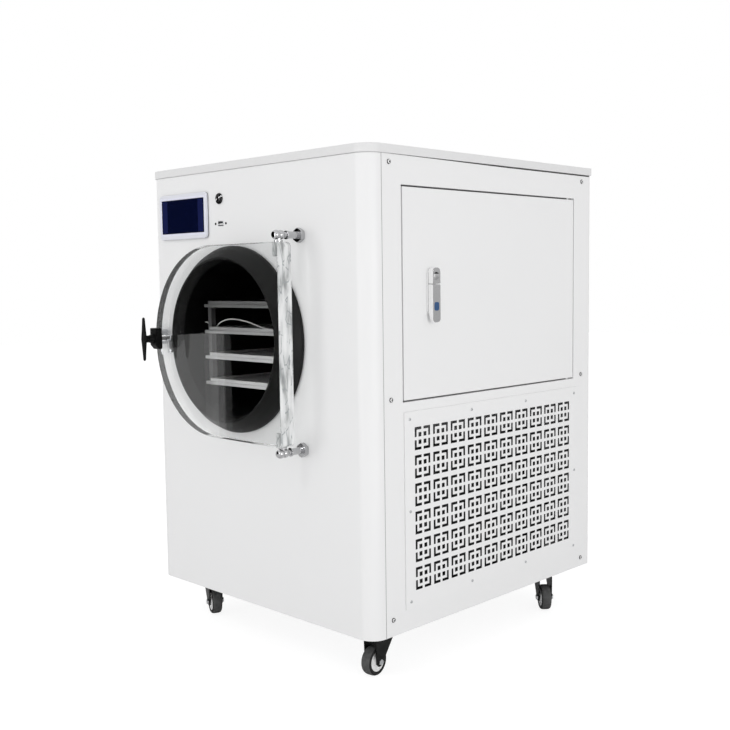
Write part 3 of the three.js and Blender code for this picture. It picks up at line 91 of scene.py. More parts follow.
class Value:
    """A node's socket that does sums: each operator adds the Math node for it."""

    def __init__(self, tree, socket):
        self.tree = tree
        self.socket = socket

    def math(self, operation, *terms):
        return self.tree.node("Math", {"operation": operation}, dict(enumerate(terms)))

    def sum_of(operation):
        return lambda self, *others: self.math(operation, self, *others)

    __add__ = __radd__ = sum_of("ADD")
    __sub__ = sum_of("SUBTRACT")
    __mul__ = __rmul__ = sum_of("MULTIPLY")
    __truediv__ = sum_of("DIVIDE")
    __lt__ = sum_of("LESS_THAN")
    __gt__ = sum_of("GREATER_THAN")
    __abs__ = sum_of("ABSOLUTE")
    __or__ = sum_of("MAXIMUM")
    __and__ = sum_of("MINIMUM")
    fraction = sum_of("FRACT")

    def __rsub__(self, other):
        return self.math("SUBTRACT", other, self)


class Tree:
    """A node tree, and the one method that adds nodes to it."""

    prefix = "ShaderNode"

    def __init__(self, tree):
        self.tree = tree

    def node(self, kind, settings=None, inputs=None, output=0):
        made = self.tree.nodes.new(self.prefix + kind)
        for key, value in (settings or {}).items():
            if key == "stops":
                marks = made.color_ramp.elements
                while len(marks) < len(value):
                    marks.new(1)
                for mark, (place, colour) in zip(marks, value):
                    mark.position, mark.color = place, colour
            else:
                setattr(made, key, value)
        self.feed(made, inputs or {})
        return Value(self, made.outputs[output])

    def feed(self, made, inputs):
        for key, value in inputs.items():
            if isinstance(value, Value):
                self.tree.links.new(value.socket, made.inputs[key])
            else:
                made.inputs[key].default_value = value


class Finish(Tree):
    """A material with a Principled shader, and the node tree that varies it."""

    def __init__(self, name, **inputs):
        self.material = bpy.data.materials.new(name)
        self.material.use_nodes = True
        super().__init__(self.material.node_tree)
        self.shader = self.tree.nodes["Principled BSDF"]
        self.surface = Value(self, self.shader.outputs[0])
        self.shade(**inputs)

    def shade(self, **inputs):
        """Sets the shader's inputs, named in lower case with underscores."""
        names = {key.name.lower().replace(" ", "_"): key.name for key in self.shader.inputs}
        self.feed(self.shader, {names[key]: value for key, value in inputs.items()})

    def place(self, axis=None, kind="Object"):
        """The point's place on the piece, or one coordinate of it, or of its normal."""
        where = self.node("TexCoord", output=kind)
        if axis is None:
            return where
        return self.node("SeparateXYZ", inputs={0: where}, output="XYZ".index(axis))

    def noise(self, scale, detail=2.0, stretch=(1, 1, 1)):
        where = self.node("Mapping", inputs={0: self.place(), "Scale": stretch})
        return self.node("TexNoise", inputs={"Vector": where, "Scale": scale, "Detail": detail})

    def blend(self, amount, first, second):
        """A colour between two, by an amount from 0 to 1."""
        return self.node("Mix", {"data_type": "RGBA"}, {0: amount, 6: first, 7: second}, output=2)

    def ramp(self, amount, *stops):
        """A colour that runs through stops, each of them an amount and its colour."""
        return self.node("ValToRGB", {"stops": stops}, {0: amount})

    def bump(self, height, depth, strength=1.0):
        self.shade(normal=self.node(
            "Bump", inputs={"Height": height, "Distance": depth, "Strength": strength}))

    def end_with(self, amount, other):
        """Ends the material with another shader, by an amount from 0 to 1."""
        self.feed(self.tree.nodes["Material Output"], {"Surface": self.node(
            "MixShader", inputs={0: amount, 1: self.surface, 2: other})})


def rgb(red, green, blue):
    return (red, green, blue, 1.0)


def grey(level):
    return rgb(level, level, level)


def mottled(name, patches, first, second, grain=None, depth=0.00004, gloss=None, **inputs):
    """A finish that drifts between two colours. Patches and grain are noises, and gloss is
    the least roughness and what the patches add to it."""
    finish = Finish(name, **inputs)
    drift = finish.noise(*patches)
    finish.shade(base_color=finish.blend(drift, first, second))
    if gloss:
        finish.shade(roughness=gloss[0] + gloss[1] * drift)
    finish.bump(finish.noise(*(grain or patches)), depth)
    return finish


def cover(obj, *finishes):
    """Gives a piece its finishes. The first is on the whole of it."""
    obj.data.materials.clear()
    for finish in finishes:
        obj.data.materials.append(finish.material)
    return obj


def fitted(obj, body, node=None):
    """Lets a piece ride on a body, in place of a CAD piece where one is named."""
    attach(obj, body)
    if node:
        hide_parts(node)
    return obj


def round_line(name, radius, kind, count):
    """An object for a round wire or tube, and its one spline with so many points."""
    curve = bpy.data.curves.new(name, "CURVE")
    curve.dimensions = "3D"
    curve.bevel_depth = radius
    curve.bevel_resolution = 4
    curve.use_fill_caps = True
    line = curve.splines.new(kind)
    (line.bezier_points if kind == "BEZIER" else line.points).add(count - 1)
    return placed(name, curve), line


lead_jacket = mottled("lead_jacket", (600,), rgb(0.86, 0.86, 0.84), rgb(0.78, 0.78, 0.75),
                      (2500,), 0.00005, roughness=0.45)
lead_radius = 1.1 * mm
lead_route = [at(*point) for point in (
    (-151.2, -288, 515.5), (-146, -288, 515.1), (-141, -288, 512.3), (-138, -288, 507),
    (-136.3, -288, 501), (-134.2, -288, 495.4), (-131, -288, 492.8), (-127.5, -288, 493.8),
    (-124.8, -288, 497.5), (-121.8, -288, 502.2), (-118, -288, 506.8), (-113, -288, 511),
    (-107, -288, 514.7), (-98, -287.5, 518.3), (-86, -286.5, 521.2), (-73, -285, 522.1),
    (-60, -283.5, 521.5), (-47, -282, 519.8), (-34, -280.5, 517.4), (-22, -279.5, 514.5),
    (-10, -278.5, 511.2), (1, -277.8, 508.3), (11, -277.3, 506.4), (20, -277, 505.8))]
lead, lead_line = round_line("thermocouple_lead", lead_radius, "BEZIER", len(lead_route))
lead_line.resolution_u = 6
for knot, place in zip(lead_line.bezier_points, lead_route):
    knot.co = place
    knot.handle_left_type = knot.handle_right_type = "AUTO"
fitted(cover(lead, lead_jacket), "cabinet", "probe_lead")


def from_form(name, form):
    """An object with the shape of a bmesh."""
    mesh = bpy.data.meshes.new(name)
    form.to_mesh(mesh)
    form.free()
    return placed(name, mesh)


def smoothed(obj, angle):
    """Smooths a piece's faces, except over edges that are sharper than an angle."""
    obj.data.polygons.foreach_set("use_smooth", [True] * len(obj.data.polygons))
    obj.data.set_sharp_from_angle(angle=math.radians(angle))
    return obj


def new_piece(name, form, finish, smooth=30):
    """A smoothed piece with a finish, from a bmesh."""
    bmesh.ops.recalc_face_normals(form, faces=form.faces)
    return cover(smoothed(from_form(name, form), smooth), finish)


def directions(axis):
    """Two directions square to an axis, which make a right-handed set with it."""
    axis = Vector(axis).normalized()
    first = axis.orthogonal().normalized()
    return first, axis.cross(first), axis


def skin(form, rings):
    """Joins each ring of corners to the next with faces."""
    for ring, other in zip(rings, rings[1:]):
        for i in range(len(ring)):
            k = (i + 1) % len(ring)
            corners = list(dict.fromkeys((ring[i], ring[k], other[k], other[i])))
            if len(corners) > 2:
                form.faces.new(corners)


def turned(name, profile, origin, axis, finish, segments=64, smooth=30):
    """A piece turned on a lathe: [radius, place along the axis] in millimetres."""
    first, second, along = directions(axis)
    form = bmesh.new()
    rings = []
    for radius, place in profile:
        middle = origin + along * place * mm
        if radius < 1e-6:
            rings.append([form.verts.new(middle)] * segments)
            continue
        ring = []
        for i in range(segments):
            angle = 2 * math.pi * i / segments
            out = first * math.cos(angle) + second * math.sin(angle)
            ring.append(form.verts.new(middle + out * radius * mm))
        rings.append(ring)
    skin(form, rings + rings[:1] if profile[0][0] > 1e-6 else rings)
    return new_piece(name, form, finish, smooth)


def polished(name, rough, more, depth, stretch=(1, 1, 1), **inputs):
    """Polished metal, with faint clouds and a fine grain."""
    finish = Finish(name, metallic=1.0, **inputs)
    finish.shade(roughness=rough + more * finish.noise(140, 3))
    finish.bump(finish.noise(900, 3, stretch), depth)
    return finish


bright_steel = polished("bright_steel", 0.07, 0.08, 0.00002, (1, 1, 6),
                        base_color=rgb(0.78, 0.79, 0.81))

probe_axis = (lead_route[-1] - lead_route[-2]).normalized()
probe = turned("thermocouple_probe", [
    (0, 0.6), (1.5, 0.6), (2, 1.1), (2, 6), (1.75, 6.4), (1.75, 24.5), (1.4, 25.6), (0, 26)],
    lead_route[-1], probe_axis, bright_steel, segments=32)
fitted(probe, "cabinet", "probe_tip")

# ---- studio
# A white sweep: the floor and the far room are white to the camera and in every reflection.
# Two large soft lamps stand at the right and at the front left, with a small one above the
# front. Dark cloths hang where the clear door and the bright metal would mirror the room.

bpy.context.scene.world = bpy.data.worlds.new("room")
bpy.context.scene.world.use_nodes = True
room = Tree(bpy.context.scene.world.node_tree)
room_light = 0.7
camera_rays, glossy_rays, clear_rays = (room.node("LightPath", output=rays) for rays in (
    "Is Camera Ray", "Is Glossy Ray", "Is Transmission Ray"))
room.feed(room.tree.nodes["Background"], {
    "Color": grey(1),
    "Strength": room_light + (1 - room_light) * (camera_rays | glossy_rays | clear_rays)})

floor_finish = Finish("floor", base_color=grey(0.86), roughness=0.9)
white_floor = floor_finish.node("Emission", inputs={"Strength": 1.25})
lit_floor = floor_finish.node("BsdfDiffuse", inputs={"Color": grey(0.9)})
seen_floor = floor_finish.node("MixShader", inputs={0: 0.7, 1: lit_floor, 2: white_floor})
floor_finish.end_with(floor_finish.node("LightPath", output="Is Camera Ray"), seen_floor)

form = bmesh.new()
bmesh.ops.create_grid(form, x_segments=1, y_segments=1, size=9)
new_piece("floor", form, floor_finish)


def soft_lamp(name, place, target, size, watts):
    data = bpy.data.lights.new(name, "AREA")
    data.shape = "SQUARE"
    data.size = size
    data.energy = watts
    lamp = placed(name, data)
    lamp.location = place
    lamp.rotation_euler = (Vector(target) - Vector(place)).to_track_quat("-Z", "Y").to_euler()
    lamp.visible_camera = False


soft_lamp("key_lamp", (3.4, -0.9, 0.3), (0, 0, 0.1), 2.0, 42)
soft_lamp("fill_lamp", (-1.2, -3.6, 0.4), (0, 0, 0.25), 2.0, 29)
soft_lamp("top_lamp", (0.2, -2.2, 2.4), (0.1, -0.3, 0.6), 0.4, 6)

dark_cloth = Finish("dark_cloth", base_color=grey(0.001), roughness=1.0,
                    specular_ior_level=0.0)
grey_cloth = Finish("grey_cloth", base_color=grey(0.58), roughness=1.0)
dim_cloth = Finish("dim_cloth", base_color=grey(0.3), roughness=1.0)


def bare_mesh(name, points=(), faces=()):
    """An object made of bare points and faces."""
    mesh = bpy.data.meshes.new(name)
    mesh.from_pydata([tuple(point) for point in points], [], faces)
    return placed(name, mesh)


def cloth(name, corner, across, up, finish):
    """A flat cloth that only bright metal and clear plastic find."""
    corner, across, up = Vector(corner), Vector(across), Vector(up)
    corners = (corner, corner + across, corner + across + up, corner + up)
    obj = cover(bare_mesh(name, corners, [range(4)]), finish)
    obj.visible_camera = obj.visible_diffuse = obj.visible_shadow = False


cloth_x, split = -1.6, 0.484
cloth("upper_cloth", (cloth_x, -1.05, split), (0, -1.55, 0), (0, 0, 0.9), dark_cloth)
cloth("lower_cloth", (cloth_x, -1.577, 0), (0, -1, 0), (0, 0, split), dark_cloth)
cloth("narrow_cloth", (cloth_x, -1.543, 0), (0, -0.034, 0), (0, 0, split), dim_cloth)
cloth("side_cloth", (cloth_x, -1.05, 0), (0, -0.434, 0), (0, 0, split), grey_cloth)
cloth("right_cloth", (3.2, -2.2, 0.2), (0.5, 0.9, 0), (0, 0, 1.9), dark_cloth)

# ---- cabinet shell
# Folded steel sheets, powder coated white with a fine texture: a front sheet wrapped round
# both corners, two sides, a back, a lid like an upturned pan, and a zinc-plated base tray.


def coated(name, light=rgb(0.85, 0.85, 0.853), dark=rgb(0.828, 0.828, 0.832)):
    """White powder coat with a fine texture, and its colour, which marks can be laid over."""
    finish = Finish(name, specular_ior_level=0.5)
    speckle = finish.noise(1100, 2)
    drift = finish.noise(4, 2)
    paint = finish.blend(drift, light, dark)
    finish.shade(base_color=paint, roughness=0.36 + 0.1 * drift + 0.06 * speckle)
    finish.bump(speckle, 0.00006, 0.6)
    return finish, paint


def marked(finish, paint, mark, colour):
    """Lays a mark over a colour, and gives the new one."""
    paint = finish.blend(mark, paint, colour)
    finish.shade(base_color=paint)
    return paint


# Near black, for painted shade: in gaps, under the lid and round the grille's slots.
gap_shade = grey(0.02)
powder_coat, _ = coated("powder_coat")
# The lid's coat is a darker copy of the white coat: painted shade on the lid.
lid_coat, _ = coated("lid_coat", rgb(0.76, 0.76, 0.763), rgb(0.74, 0.74, 0.743))

side_coat, side_paint = coated("side_coat")
side_sheet_low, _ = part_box("right_side_panel")
seam_width, shadow_depth, shadow_start, shadow_run = 0.7 * mm, 2.4 * mm, -280 * mm, 320 * mm
# A line of painted shade runs down the side sheet's front edge, where it meets the front sheet.
seam_shade = side_coat.place("Y") < side_sheet_low.y + seam_width
side_paint = marked(side_coat, side_paint, seam_shade, grey(0.42))
# The side sheet's top edge is painted near black as the lid's shadow, in a band that deepens
# towards the back.
rearwards = ((side_coat.place("Y") - (cabinet.y + shadow_start)) / shadow_run | 0.0) & 1.0
lid_shadow = side_coat.place("Z") > front_high.z - shadow_depth * rearwards
marked(side_coat, side_paint, lid_shadow, gap_shade)

zinc_plate = Finish("zinc_plate", metallic=0.9)
spangle = zinc_plate.node("TexVoronoi", inputs={0: zinc_plate.place(), "Scale": 140})
zinc_plate.shade(
    base_color=zinc_plate.blend(spangle, rgb(0.50, 0.51, 0.52), rgb(0.62, 0.63, 0.64)),
    roughness=0.42 + 0.2 * spangle)
zinc_plate.bump(zinc_plate.noise(300, 3), 0.00004)


def settled(obj):
    """Applies the piece's modifiers, so that its mesh is plain."""
    depsgraph = bpy.context.evaluated_depsgraph_get()
    mesh = bpy.data.meshes.new_from_object(obj.evaluated_get(depsgraph))
    obj.modifiers.clear()
    obj.data = mesh
    return obj


def eased(obj, edge, steps=2, over=35):
    """Breaks the edges of a piece with a small round."""
    bevel = obj.modifiers.new("edges", "BEVEL")
    bevel.width = edge * mm
    bevel.segments = steps
    bevel.limit_method = "ANGLE"
    bevel.angle_limit = math.radians(over)
    bevel.harden_normals = False
    faces = obj.modifiers.new("shading", "WEIGHTED_NORMAL")
    faces.keep_sharp = True
    return settled(obj)


def dressed(node, name, finish, body="cabinet", edge=0.4, steps=2, over=35):
    """A fine copy of a CAD piece, with its edges eased and its own finish."""
    form = bmesh.new()
    form.from_mesh(frame["nodes"][node].data)
    bmesh.ops.remove_doubles(form, verts=form.verts, dist=1e-6)
    bmesh.ops.dissolve_limit(form, angle_limit=math.radians(0.3), verts=form.verts,
                             edges=form.edges)
    obj = new_piece(name, form, finish, over)
    eased(obj, edge, steps, over)
    return fitted(obj, body, node)


dressed("front_panel", "front_fascia", powder_coat, edge=0.5)
dressed("left_side_panel", "left_side_sheet", powder_coat, edge=0.5)
dressed("right_side_panel", "right_side_sheet", side_coat, edge=0.5)
dressed("back_panel", "back_sheet", powder_coat, edge=0.3, steps=1)
dressed("top_cover", "lid", lid_coat, edge=1.2, steps=3)
dressed("base_tray", "base_pan", zinc_plate, edge=0.5)

# ---- side grille
# One laser-cut sheet, powder coated like the cabinet and screwed over the opening low in the
# right side. Each of its sixty cells has four corner slots round four small square holes.


class Pattern(Tree):
    """A Geometry Nodes tree with named inputs, which makes one plain mesh of what repeats."""

    prefix = "GeometryNode"
    kinds = {int: "Int", float: "Float", Vector: "Vector", bpy.types.Object: "Object",
             bpy.types.Material: "Material"}

    def __init__(self, name, **sizes):
        super().__init__(bpy.data.node_groups.new(name, "GeometryNodeTree"))
        self.values = {}
        faces = self.tree.interface
        faces.new_socket("Geometry", in_out="INPUT", socket_type="NodeSocketGeometry")
        for key, value in sizes.items():
            kind = self.kinds[type(value)]
            socket = faces.new_socket(key, in_out="INPUT", socket_type="NodeSocket" + kind)
            self.values[socket.identifier] = value
        faces.new_socket("Geometry", in_out="OUTPUT", socket_type="NodeSocketGeometry")
        self.start = {socket.name: Value(self, socket)
                      for socket in self.tree.nodes.new("NodeGroupInput").outputs}
        self.end = self.tree.nodes.new("NodeGroupOutput")

    def repeat(self, points, model):
        """Copies of a model object on points, made real."""
        shape = self.node("ObjectInfo", inputs={"Object": model}, output="Geometry")
        copies = self.node("InstanceOnPoints", inputs={"Points": points, "Instance": shape})
        return self.node("RealizeInstances", inputs={"Geometry": copies})

    def finished(self, geometry):
        self.feed(self.end, {0: self.node("SetMaterial", inputs={
            "Geometry": geometry, "Material": self.start["finish"]})})
        return self

    def grow(self, name, base):
        """Runs the tree on a base object, and keeps the result as a piece."""
        modifier = base.modifiers.new("pattern", "NODES")
        modifier.node_group = self.tree
        for identifier, value in self.values.items():
            modifier[identifier] = value
        base.name = name
        return settled(base)


def discard(*objects):
    for obj in objects:
        bpy.data.objects.remove(obj)


grille_low, grille_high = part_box("side_grille")
grille_x = grille_high.x
grille_gauge = grille_high.x - grille_low.x
columns, rows = 10, 6
pitch_y, pitch_z = 46.9 * mm, 47.9 * mm
pattern_middle = at(0, 14.8, 206)
cell = 38.3 * mm
slot_width = 4 * mm
slot_round = 3 * mm
bar = 6.2 * mm
hole = 7 * mm
hole_place = 6.35 * mm


def rectangle_loop(y, z, half_y, half_z):
    return [(y - half_y, z - half_z), (y + half_y, z - half_z),
            (y + half_y, z + half_z), (y - half_y, z + half_z)]


def side_tile():
    """One tile of the sheet, flat, with four corner slots and four square holes cut out."""
    outer, inner, end = cell / 2, cell / 2 - slot_width, bar / 2
    turn = outer - slot_round
    bend = [(turn + slot_round * math.sin(angle), turn + slot_round * math.cos(angle))
            for angle in (math.pi * i / 6 for i in range(3, -1, -1))]
    corner = [*bend, (end, outer), (end, inner), (inner, inner), (inner, end), (outer, end)]
    loops = [rectangle_loop(0, 0, pitch_y / 2, pitch_z / 2)]
    for side_y, side_z in ((-1, -1), (-1, 1), (1, -1), (1, 1)):
        loops.append([(side_y * y, side_z * z) for y, z in corner])
        loops.append(rectangle_loop(side_y * hole_place, side_z * hole_place, hole / 2, hole / 2))
    form = bmesh.new()
    edges = []
    for loop in loops:
        corners = [form.verts.new((0, y, z)) for y, z in loop]
        edges += [form.edges.new(pair) for pair in zip(corners, corners[1:] + corners[:1])]
    bmesh.ops.triangle_fill(form, use_beauty=True, edges=edges, normal=(1, 0, 0))
    for face in form.faces:
        if face.normal.x < 0:
            face.normal_flip()
    return from_form("grille_tile", form)


def grille_border():
    """The plain margin round the pattern, with a corner at each tile's corner."""
    lines_y, lines_z = (
        [grille_low[axis], *(pattern_middle[axis] + (i - count / 2) * pitch
                             for i in range(count + 1)), grille_high[axis]]
        for axis, pitch, count in ((1, pitch_y, columns), (2, pitch_z, rows)))
    points = [(grille_x, y, z) for z in lines_z for y in lines_y]
    across = len(lines_y)
    faces = []
    for row in range(len(lines_z) - 1):
        for column in range(across - 1):
            if row in (0, len(lines_z) - 2) or column in (0, across - 2):
                a = row * across + column
                faces.append((a, a + 1, a + 1 + across, a + across))
    return bare_mesh("grille_border", points, faces)


pierced_coat, pierced_paint = coated("pierced_coat")
# A rim of painted shade runs round each slot and hole, so that they read darker and wider.
shade_rim_width = 0.4 * mm


def from_cell_middle(axis, middle, pitch, count):
    """How far a place is from the middle of its cell, and very far outside the pattern."""
    along = pierced_coat.place(axis) - middle
    part = (along / pitch).fraction() - 0.5
    return abs(part) * pitch + (abs(along) > count * pitch / 2)


across_cell = from_cell_middle("Y", pattern_middle.y, pitch_y, columns)
up_cell = from_cell_middle("Z", pattern_middle.z, pitch_z, rows)
for_hole = hole / 2 + 0.5 * shade_rim_width


def near_slot(along, aside):
    """Whether a place is in or just round the leg of a corner slot that runs aside."""
    return ((along > cell / 2 - slot_width - shade_rim_width) & (along < cell / 2 + shade_rim_width)
            & (aside > bar / 2 - shade_rim_width) & (aside < cell / 2 + shade_rim_width))


slot_shade = (near_slot(across_cell, up_cell) | near_slot(up_cell, across_cell)
             | (abs(across_cell - hole_place) < for_hole)
             & (abs(up_cell - hole_place) < for_hole))
marked(pierced_coat, pierced_paint, slot_shade, gap_shade)

tile = side_tile()
grille_pattern = Pattern(
    "grille_pattern", columns=columns, rows=rows, width=(columns - 1) * pitch_y,
    height=(rows - 1) * pitch_z, middle=Vector((grille_x, pattern_middle.y, pattern_middle.z)),
    tile=tile, finish=pierced_coat.material)
sizes = grille_pattern.start
grid = grille_pattern.node("MeshGrid", inputs={
    "Size X": sizes["height"], "Size Y": sizes["width"],
    "Vertices X": sizes["rows"], "Vertices Y": sizes["columns"]})
upright = grille_pattern.node("Transform", inputs={
    "Geometry": grid, "Translation": sizes["middle"], "Rotation": (0, math.pi / 2, 0)})
tiles = grille_pattern.repeat(upright, sizes["tile"])
joined = grille_pattern.node("JoinGeometry", inputs={0: sizes["Geometry"]})
grille_pattern.feed(joined.socket.node, {0: tiles})
merged = grille_pattern.node("MergeByDistance", inputs={
    "Geometry": joined, "Distance": 0.01 * mm})
grille = grille_pattern.finished(merged).grow("grille_sheet", grille_border())
thickness = grille.modifiers.new("gauge", "SOLIDIFY")
thickness.thickness = grille_gauge
thickness.offset = -1
settled(grille)
# The walls of the slots and holes are painted near black, as painted shade inside them.
cut_edge = mottled("cut_edge", (300,), grey(0.010), rgb(0.022, 0.022, 0.023), (900,), 0.00003,
                   roughness=0.6, specular_ior_level=0.2)
cover(grille, pierced_coat, cut_edge)
margin = 2 * mm
for face in grille.data.polygons:
    inside = (grille_low.y + margin < face.center.y < grille_high.y - margin
              and grille_low.z + margin < face.center.z < grille_high.z - margin)
    face.material_index = int(inside and abs(face.normal.x) < 0.5)
discard(tile)
fitted(grille, "cabinet", "side_grille")

# ---- panel screws
# Cross-head screws of zinc-plated steel. Pan heads of eight millimetres hold the two sides
# and the back, and smaller ones, of five, hold the grille.

screw_steel = Finish("screw_steel", metallic=1.0)
# The heads' colour is painted reflection: faces leaning a little frontwards are bright, faces
# leaning rearwards and the flat tops dark.
lean_x, lean_y = (screw_steel.place(axis, "Normal") for axis in "XY")
flat_from = 0.88
dome_reflection = screw_steel.ramp(
    0.5 + 0.5 * lean_y, (0.06, rgb(0.28, 0.28, 0.29)), (0.22, grey(0.60)), (0.38, grey(1)),
    (0.51, grey(1)), (0.56, rgb(0.20, 0.20, 0.21)), (0.60, grey(0.03)),
    (0.95, rgb(0.28, 0.28, 0.29)))
flat_top = (abs(lean_x) > flat_from) | (abs(lean_y) > flat_from)
screw_steel.shade(
    base_color=screw_steel.blend(flat_top, grey(0.07), dome_reflection),
    roughness=0.24 + 0.15 * screw_steel.noise(400))
screw_steel.bump(screw_steel.noise(2000), 0.00002)


def cut_away(obj, *cutters, operation="DIFFERENCE"):
    """Takes the cutters' shapes out of a piece, or keeps only what lies inside them."""
    for cutter in cutters:
        boolean = obj.modifiers.new("cut", "BOOLEAN")
        boolean.operation = operation
        boolean.solver = "EXACT"
        boolean.object = cutter
    settled(obj)
    discard(*cutters)
    return obj


def brick(name, size, place, finish):
    """A plain block, for cutting with or to be eased."""
    form = bmesh.new()
    bmesh.ops.create_cube(form, size=1, matrix=place @ Matrix.Diagonal((*size, 1)))
    return new_piece(name, form, finish)


def screw_head(radius, axis):
    """A pan head with its cross recess, standing on the origin."""
    height = 0.55 * radius
    head = turned("screw_head", [
        (0, -0.3), (radius, -0.3), (radius, 0.35 * height), (0.93 * radius, 0.65 * height),
        (0.75 * radius, 0.88 * height), (0.4 * radius, 0.98 * height), (0, height)],
        Vector((0, 0, 0)), axis, screw_steel, segments=20, smooth=40)
    first, second, along = directions(axis)
    arms = []
    for direction, other in ((first, second), (second, first)):
        turn = Matrix((direction, other, along)).transposed().to_4x4()
        arms.append(brick("recess", Vector((1.1, 0.26, 0.8)) * radius * mm,
                          turn @ Matrix.Translation((0, 0, height * mm)), screw_steel))
    return cut_away(head, *arms)


def screws(name, places, radius, axis, finish=screw_steel):
    """A set of like screws in the cabinet."""
    head = screw_head(radius, axis)
    pattern = Pattern(name + "_pattern", head=head, finish=finish.material)
    heads = pattern.repeat(pattern.start["Geometry"], pattern.start["head"])
    made = pattern.finished(heads).grow(name, bare_mesh(name, places))
    discard(head)
    fitted(smoothed(made, 40), "cabinet")


side_x = (front_high.x - cabinet.x) / mm
side_places = ((-270.5, 780), (-270.8, 396), (-270.7, 28), (289, 780), (289, 396), (291, 18))
for name, side in (("right_side_screws", 1), ("left_side_screws", -1)):
    screws(name, [at(side * side_x, y, z) for y, z in side_places], 4, (side, 0, 0))
grille_face = (grille_x - cabinet.x) / mm
grille_places = [(y, z) for y in (-228, -64, 98.5, 262) for z in (49.5, 360)]
screws("grille_screws", [at(grille_face, y, z) for y, z in (
    *grille_places, (-228, 204), (264, 204))], 2.6, (1, 0, 0), zinc_plate)
back_y = (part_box("back_panel")[1].y - cabinet.y) / mm
screws("back_screws", [at(x, back_y, z) for x in (-288, 0, 288) for z in (12, 390, 781)],
       4, (0, 1, 0))

# ---- chamber
# A stainless steel drum with a dished end lies on two saddles behind the front panel. Its
# steel is painted nearly black, as the shade inside it. A coil of copper tube lines its inside,
# behind the rack, and a thick black rubber ring closes the gap between its mouth and the door.

front_y = -319
forward = Vector((0, -1, 0))
chamber_middle = at(-21, front_y, 487.5)
bore, wall, port_bore = 138, 3, 10
outer = bore + wall
drum_depth, dish = 380, 34

# Painted shade: the drum's steel is coloured nearly black.
dark_steel = mottled("dark_steel", (60, 4, (1, 14, 1)), rgb(0.003, 0.003, 0.0032),
                     rgb(0.010, 0.010, 0.0105), depth=0.00008, gloss=(0.38, 0.2),
                     metallic=0.7, specular_ior_level=0.2)


def dish_points(radius, depth, steps=8):
    """Places along a dished end, from its rim to the port in its middle."""
    angles = [math.pi / 2 * i / steps for i in range(steps + 1)]
    points = [(radius * math.cos(angle), -drum_depth - depth * math.sin(angle))
              for angle in angles]
    return [point for point in points if point[0] > port_bore]


drum = turned("vacuum_drum", [
    *dish_points(bore, dish - wall), (port_bore, -drum_depth - dish + wall),
    (port_bore, -drum_depth - dish), *reversed(dish_points(outer, dish)),
    (outer, -8.3), (160, -8.3), (160, -2.3), (outer, -2.3), (outer, 13.5), (outer - 0.5, 14),
    (bore + 0.5, 14), (bore, 13.5)], chamber_middle, forward, dark_steel, segments=128)
fitted(drum, "cabinet", "chamber_drum")

black_rubber = mottled("black_rubber", (22, 4), grey(0.003), grey(0.012), (700, 3), 0.00008,
                       (0.36, 0.3), specular_ior_level=0.2)
gasket = turned("door_gasket", [
    (outer + 0.5, 0.3), (166.5, 0.3), (167.5, 1.3), (167.5, 7.5), (166.6, 9), (161.2, 19.2),
    (159.6, 21), (148.9, 32.6), (147.5, 34), (145, 34), (143.8, 33.2), (138.3, 16.2),
    (138, 14.3), (outer + 0.5, 14.3)], chamber_middle, forward, black_rubber, segments=144)
fitted(gasket, "cabinet", "chamber_gasket")

copper_tube = mottled("copper_tube", (90, 4), rgb(0.30, 0.13, 0.07), rgb(0.55, 0.26, 0.15),
                      (500,), 0.00004, (0.25, 0.3), metallic=1.0)

coil_low, coil_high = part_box("cooling_coil")
coil_tube = 4.5 * mm
coil_turns = 3
coil_steps = 48 * coil_turns
coil_radius = (coil_high.x - coil_low.x) / 2 - coil_tube
coil_length = coil_high.y - coil_low.y - 2 * coil_tube
coil, coil_line = round_line("cooling_coil_tube", coil_tube, "POLY", coil_steps + 1)
for i, knot in enumerate(coil_line.points):
    angle = 2 * math.pi * coil_turns * i / coil_steps - math.pi / 2
    knot.co = (chamber_middle.x + math.cos(angle) * coil_radius,
               coil_low.y + coil_tube + coil_length * i / coil_steps,
               chamber_middle.z + math.sin(angle) * coil_radius, 1)
fitted(cover(coil, copper_tube), "cabinet", "cooling_coil")

# ---- rack, shelves and trays
# A welded rack of square posts carries four heated shelves. A shallow pan with a rim stands
# on each. All are stainless steel, brushed along their width.

shelf_steel = Finish("shelf_steel", metallic=0.85)
grain = shelf_steel.noise(45, 4, (1, 30, 30))
# The shelves and trays are painted lighter the lower they stand, as painted light; the upper ones
# stay dark grey.
bright_from, bright_over = at(0, 0, 555).z, 100 * mm
painted_light = ((bright_from - shelf_steel.place("Z")) / bright_over | 0.0) & 1.0
shelf_steel.shade(
    base_color=shelf_steel.blend(painted_light, shelf_steel.blend(grain, grey(0.165), grey(0.253)),
                                 shelf_steel.blend(grain, grey(0.631), grey(0.967))),
    roughness=0.36 + 0.2 * grain)
shelf_steel.bump(grain, 0.00004)

rack_steel = mottled("rack_steel", (45, 4, (30, 30, 1)), rgb(0.12, 0.12, 0.122),
                     rgb(0.20, 0.20, 0.202), gloss=(0.36, 0.2), metallic=0.85)

dressed("shelf_rack", "rack_frame", rack_steel, edge=0.5)
for i in range(1, 5):
    dressed(f"shelf_{i}", f"heated_shelf_{i}", shelf_steel, edge=0.5)
    dressed(f"tray_{i}", f"product_tray_{i}", shelf_steel, edge=0.35)

# ---- touch panel
# A moulded white housing stands a few millimetres proud of the front. A dark blue display
# with lighter side bars lies in its recess, behind a glossy window.


def middle_of(node):
    low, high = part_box(node)
    return (low + high) / 2


def beside(finish, middle):
    """How far a place is to the right of a point, and how far above it."""
    return finish.place("X") - middle.x, finish.place("Z") - middle.z


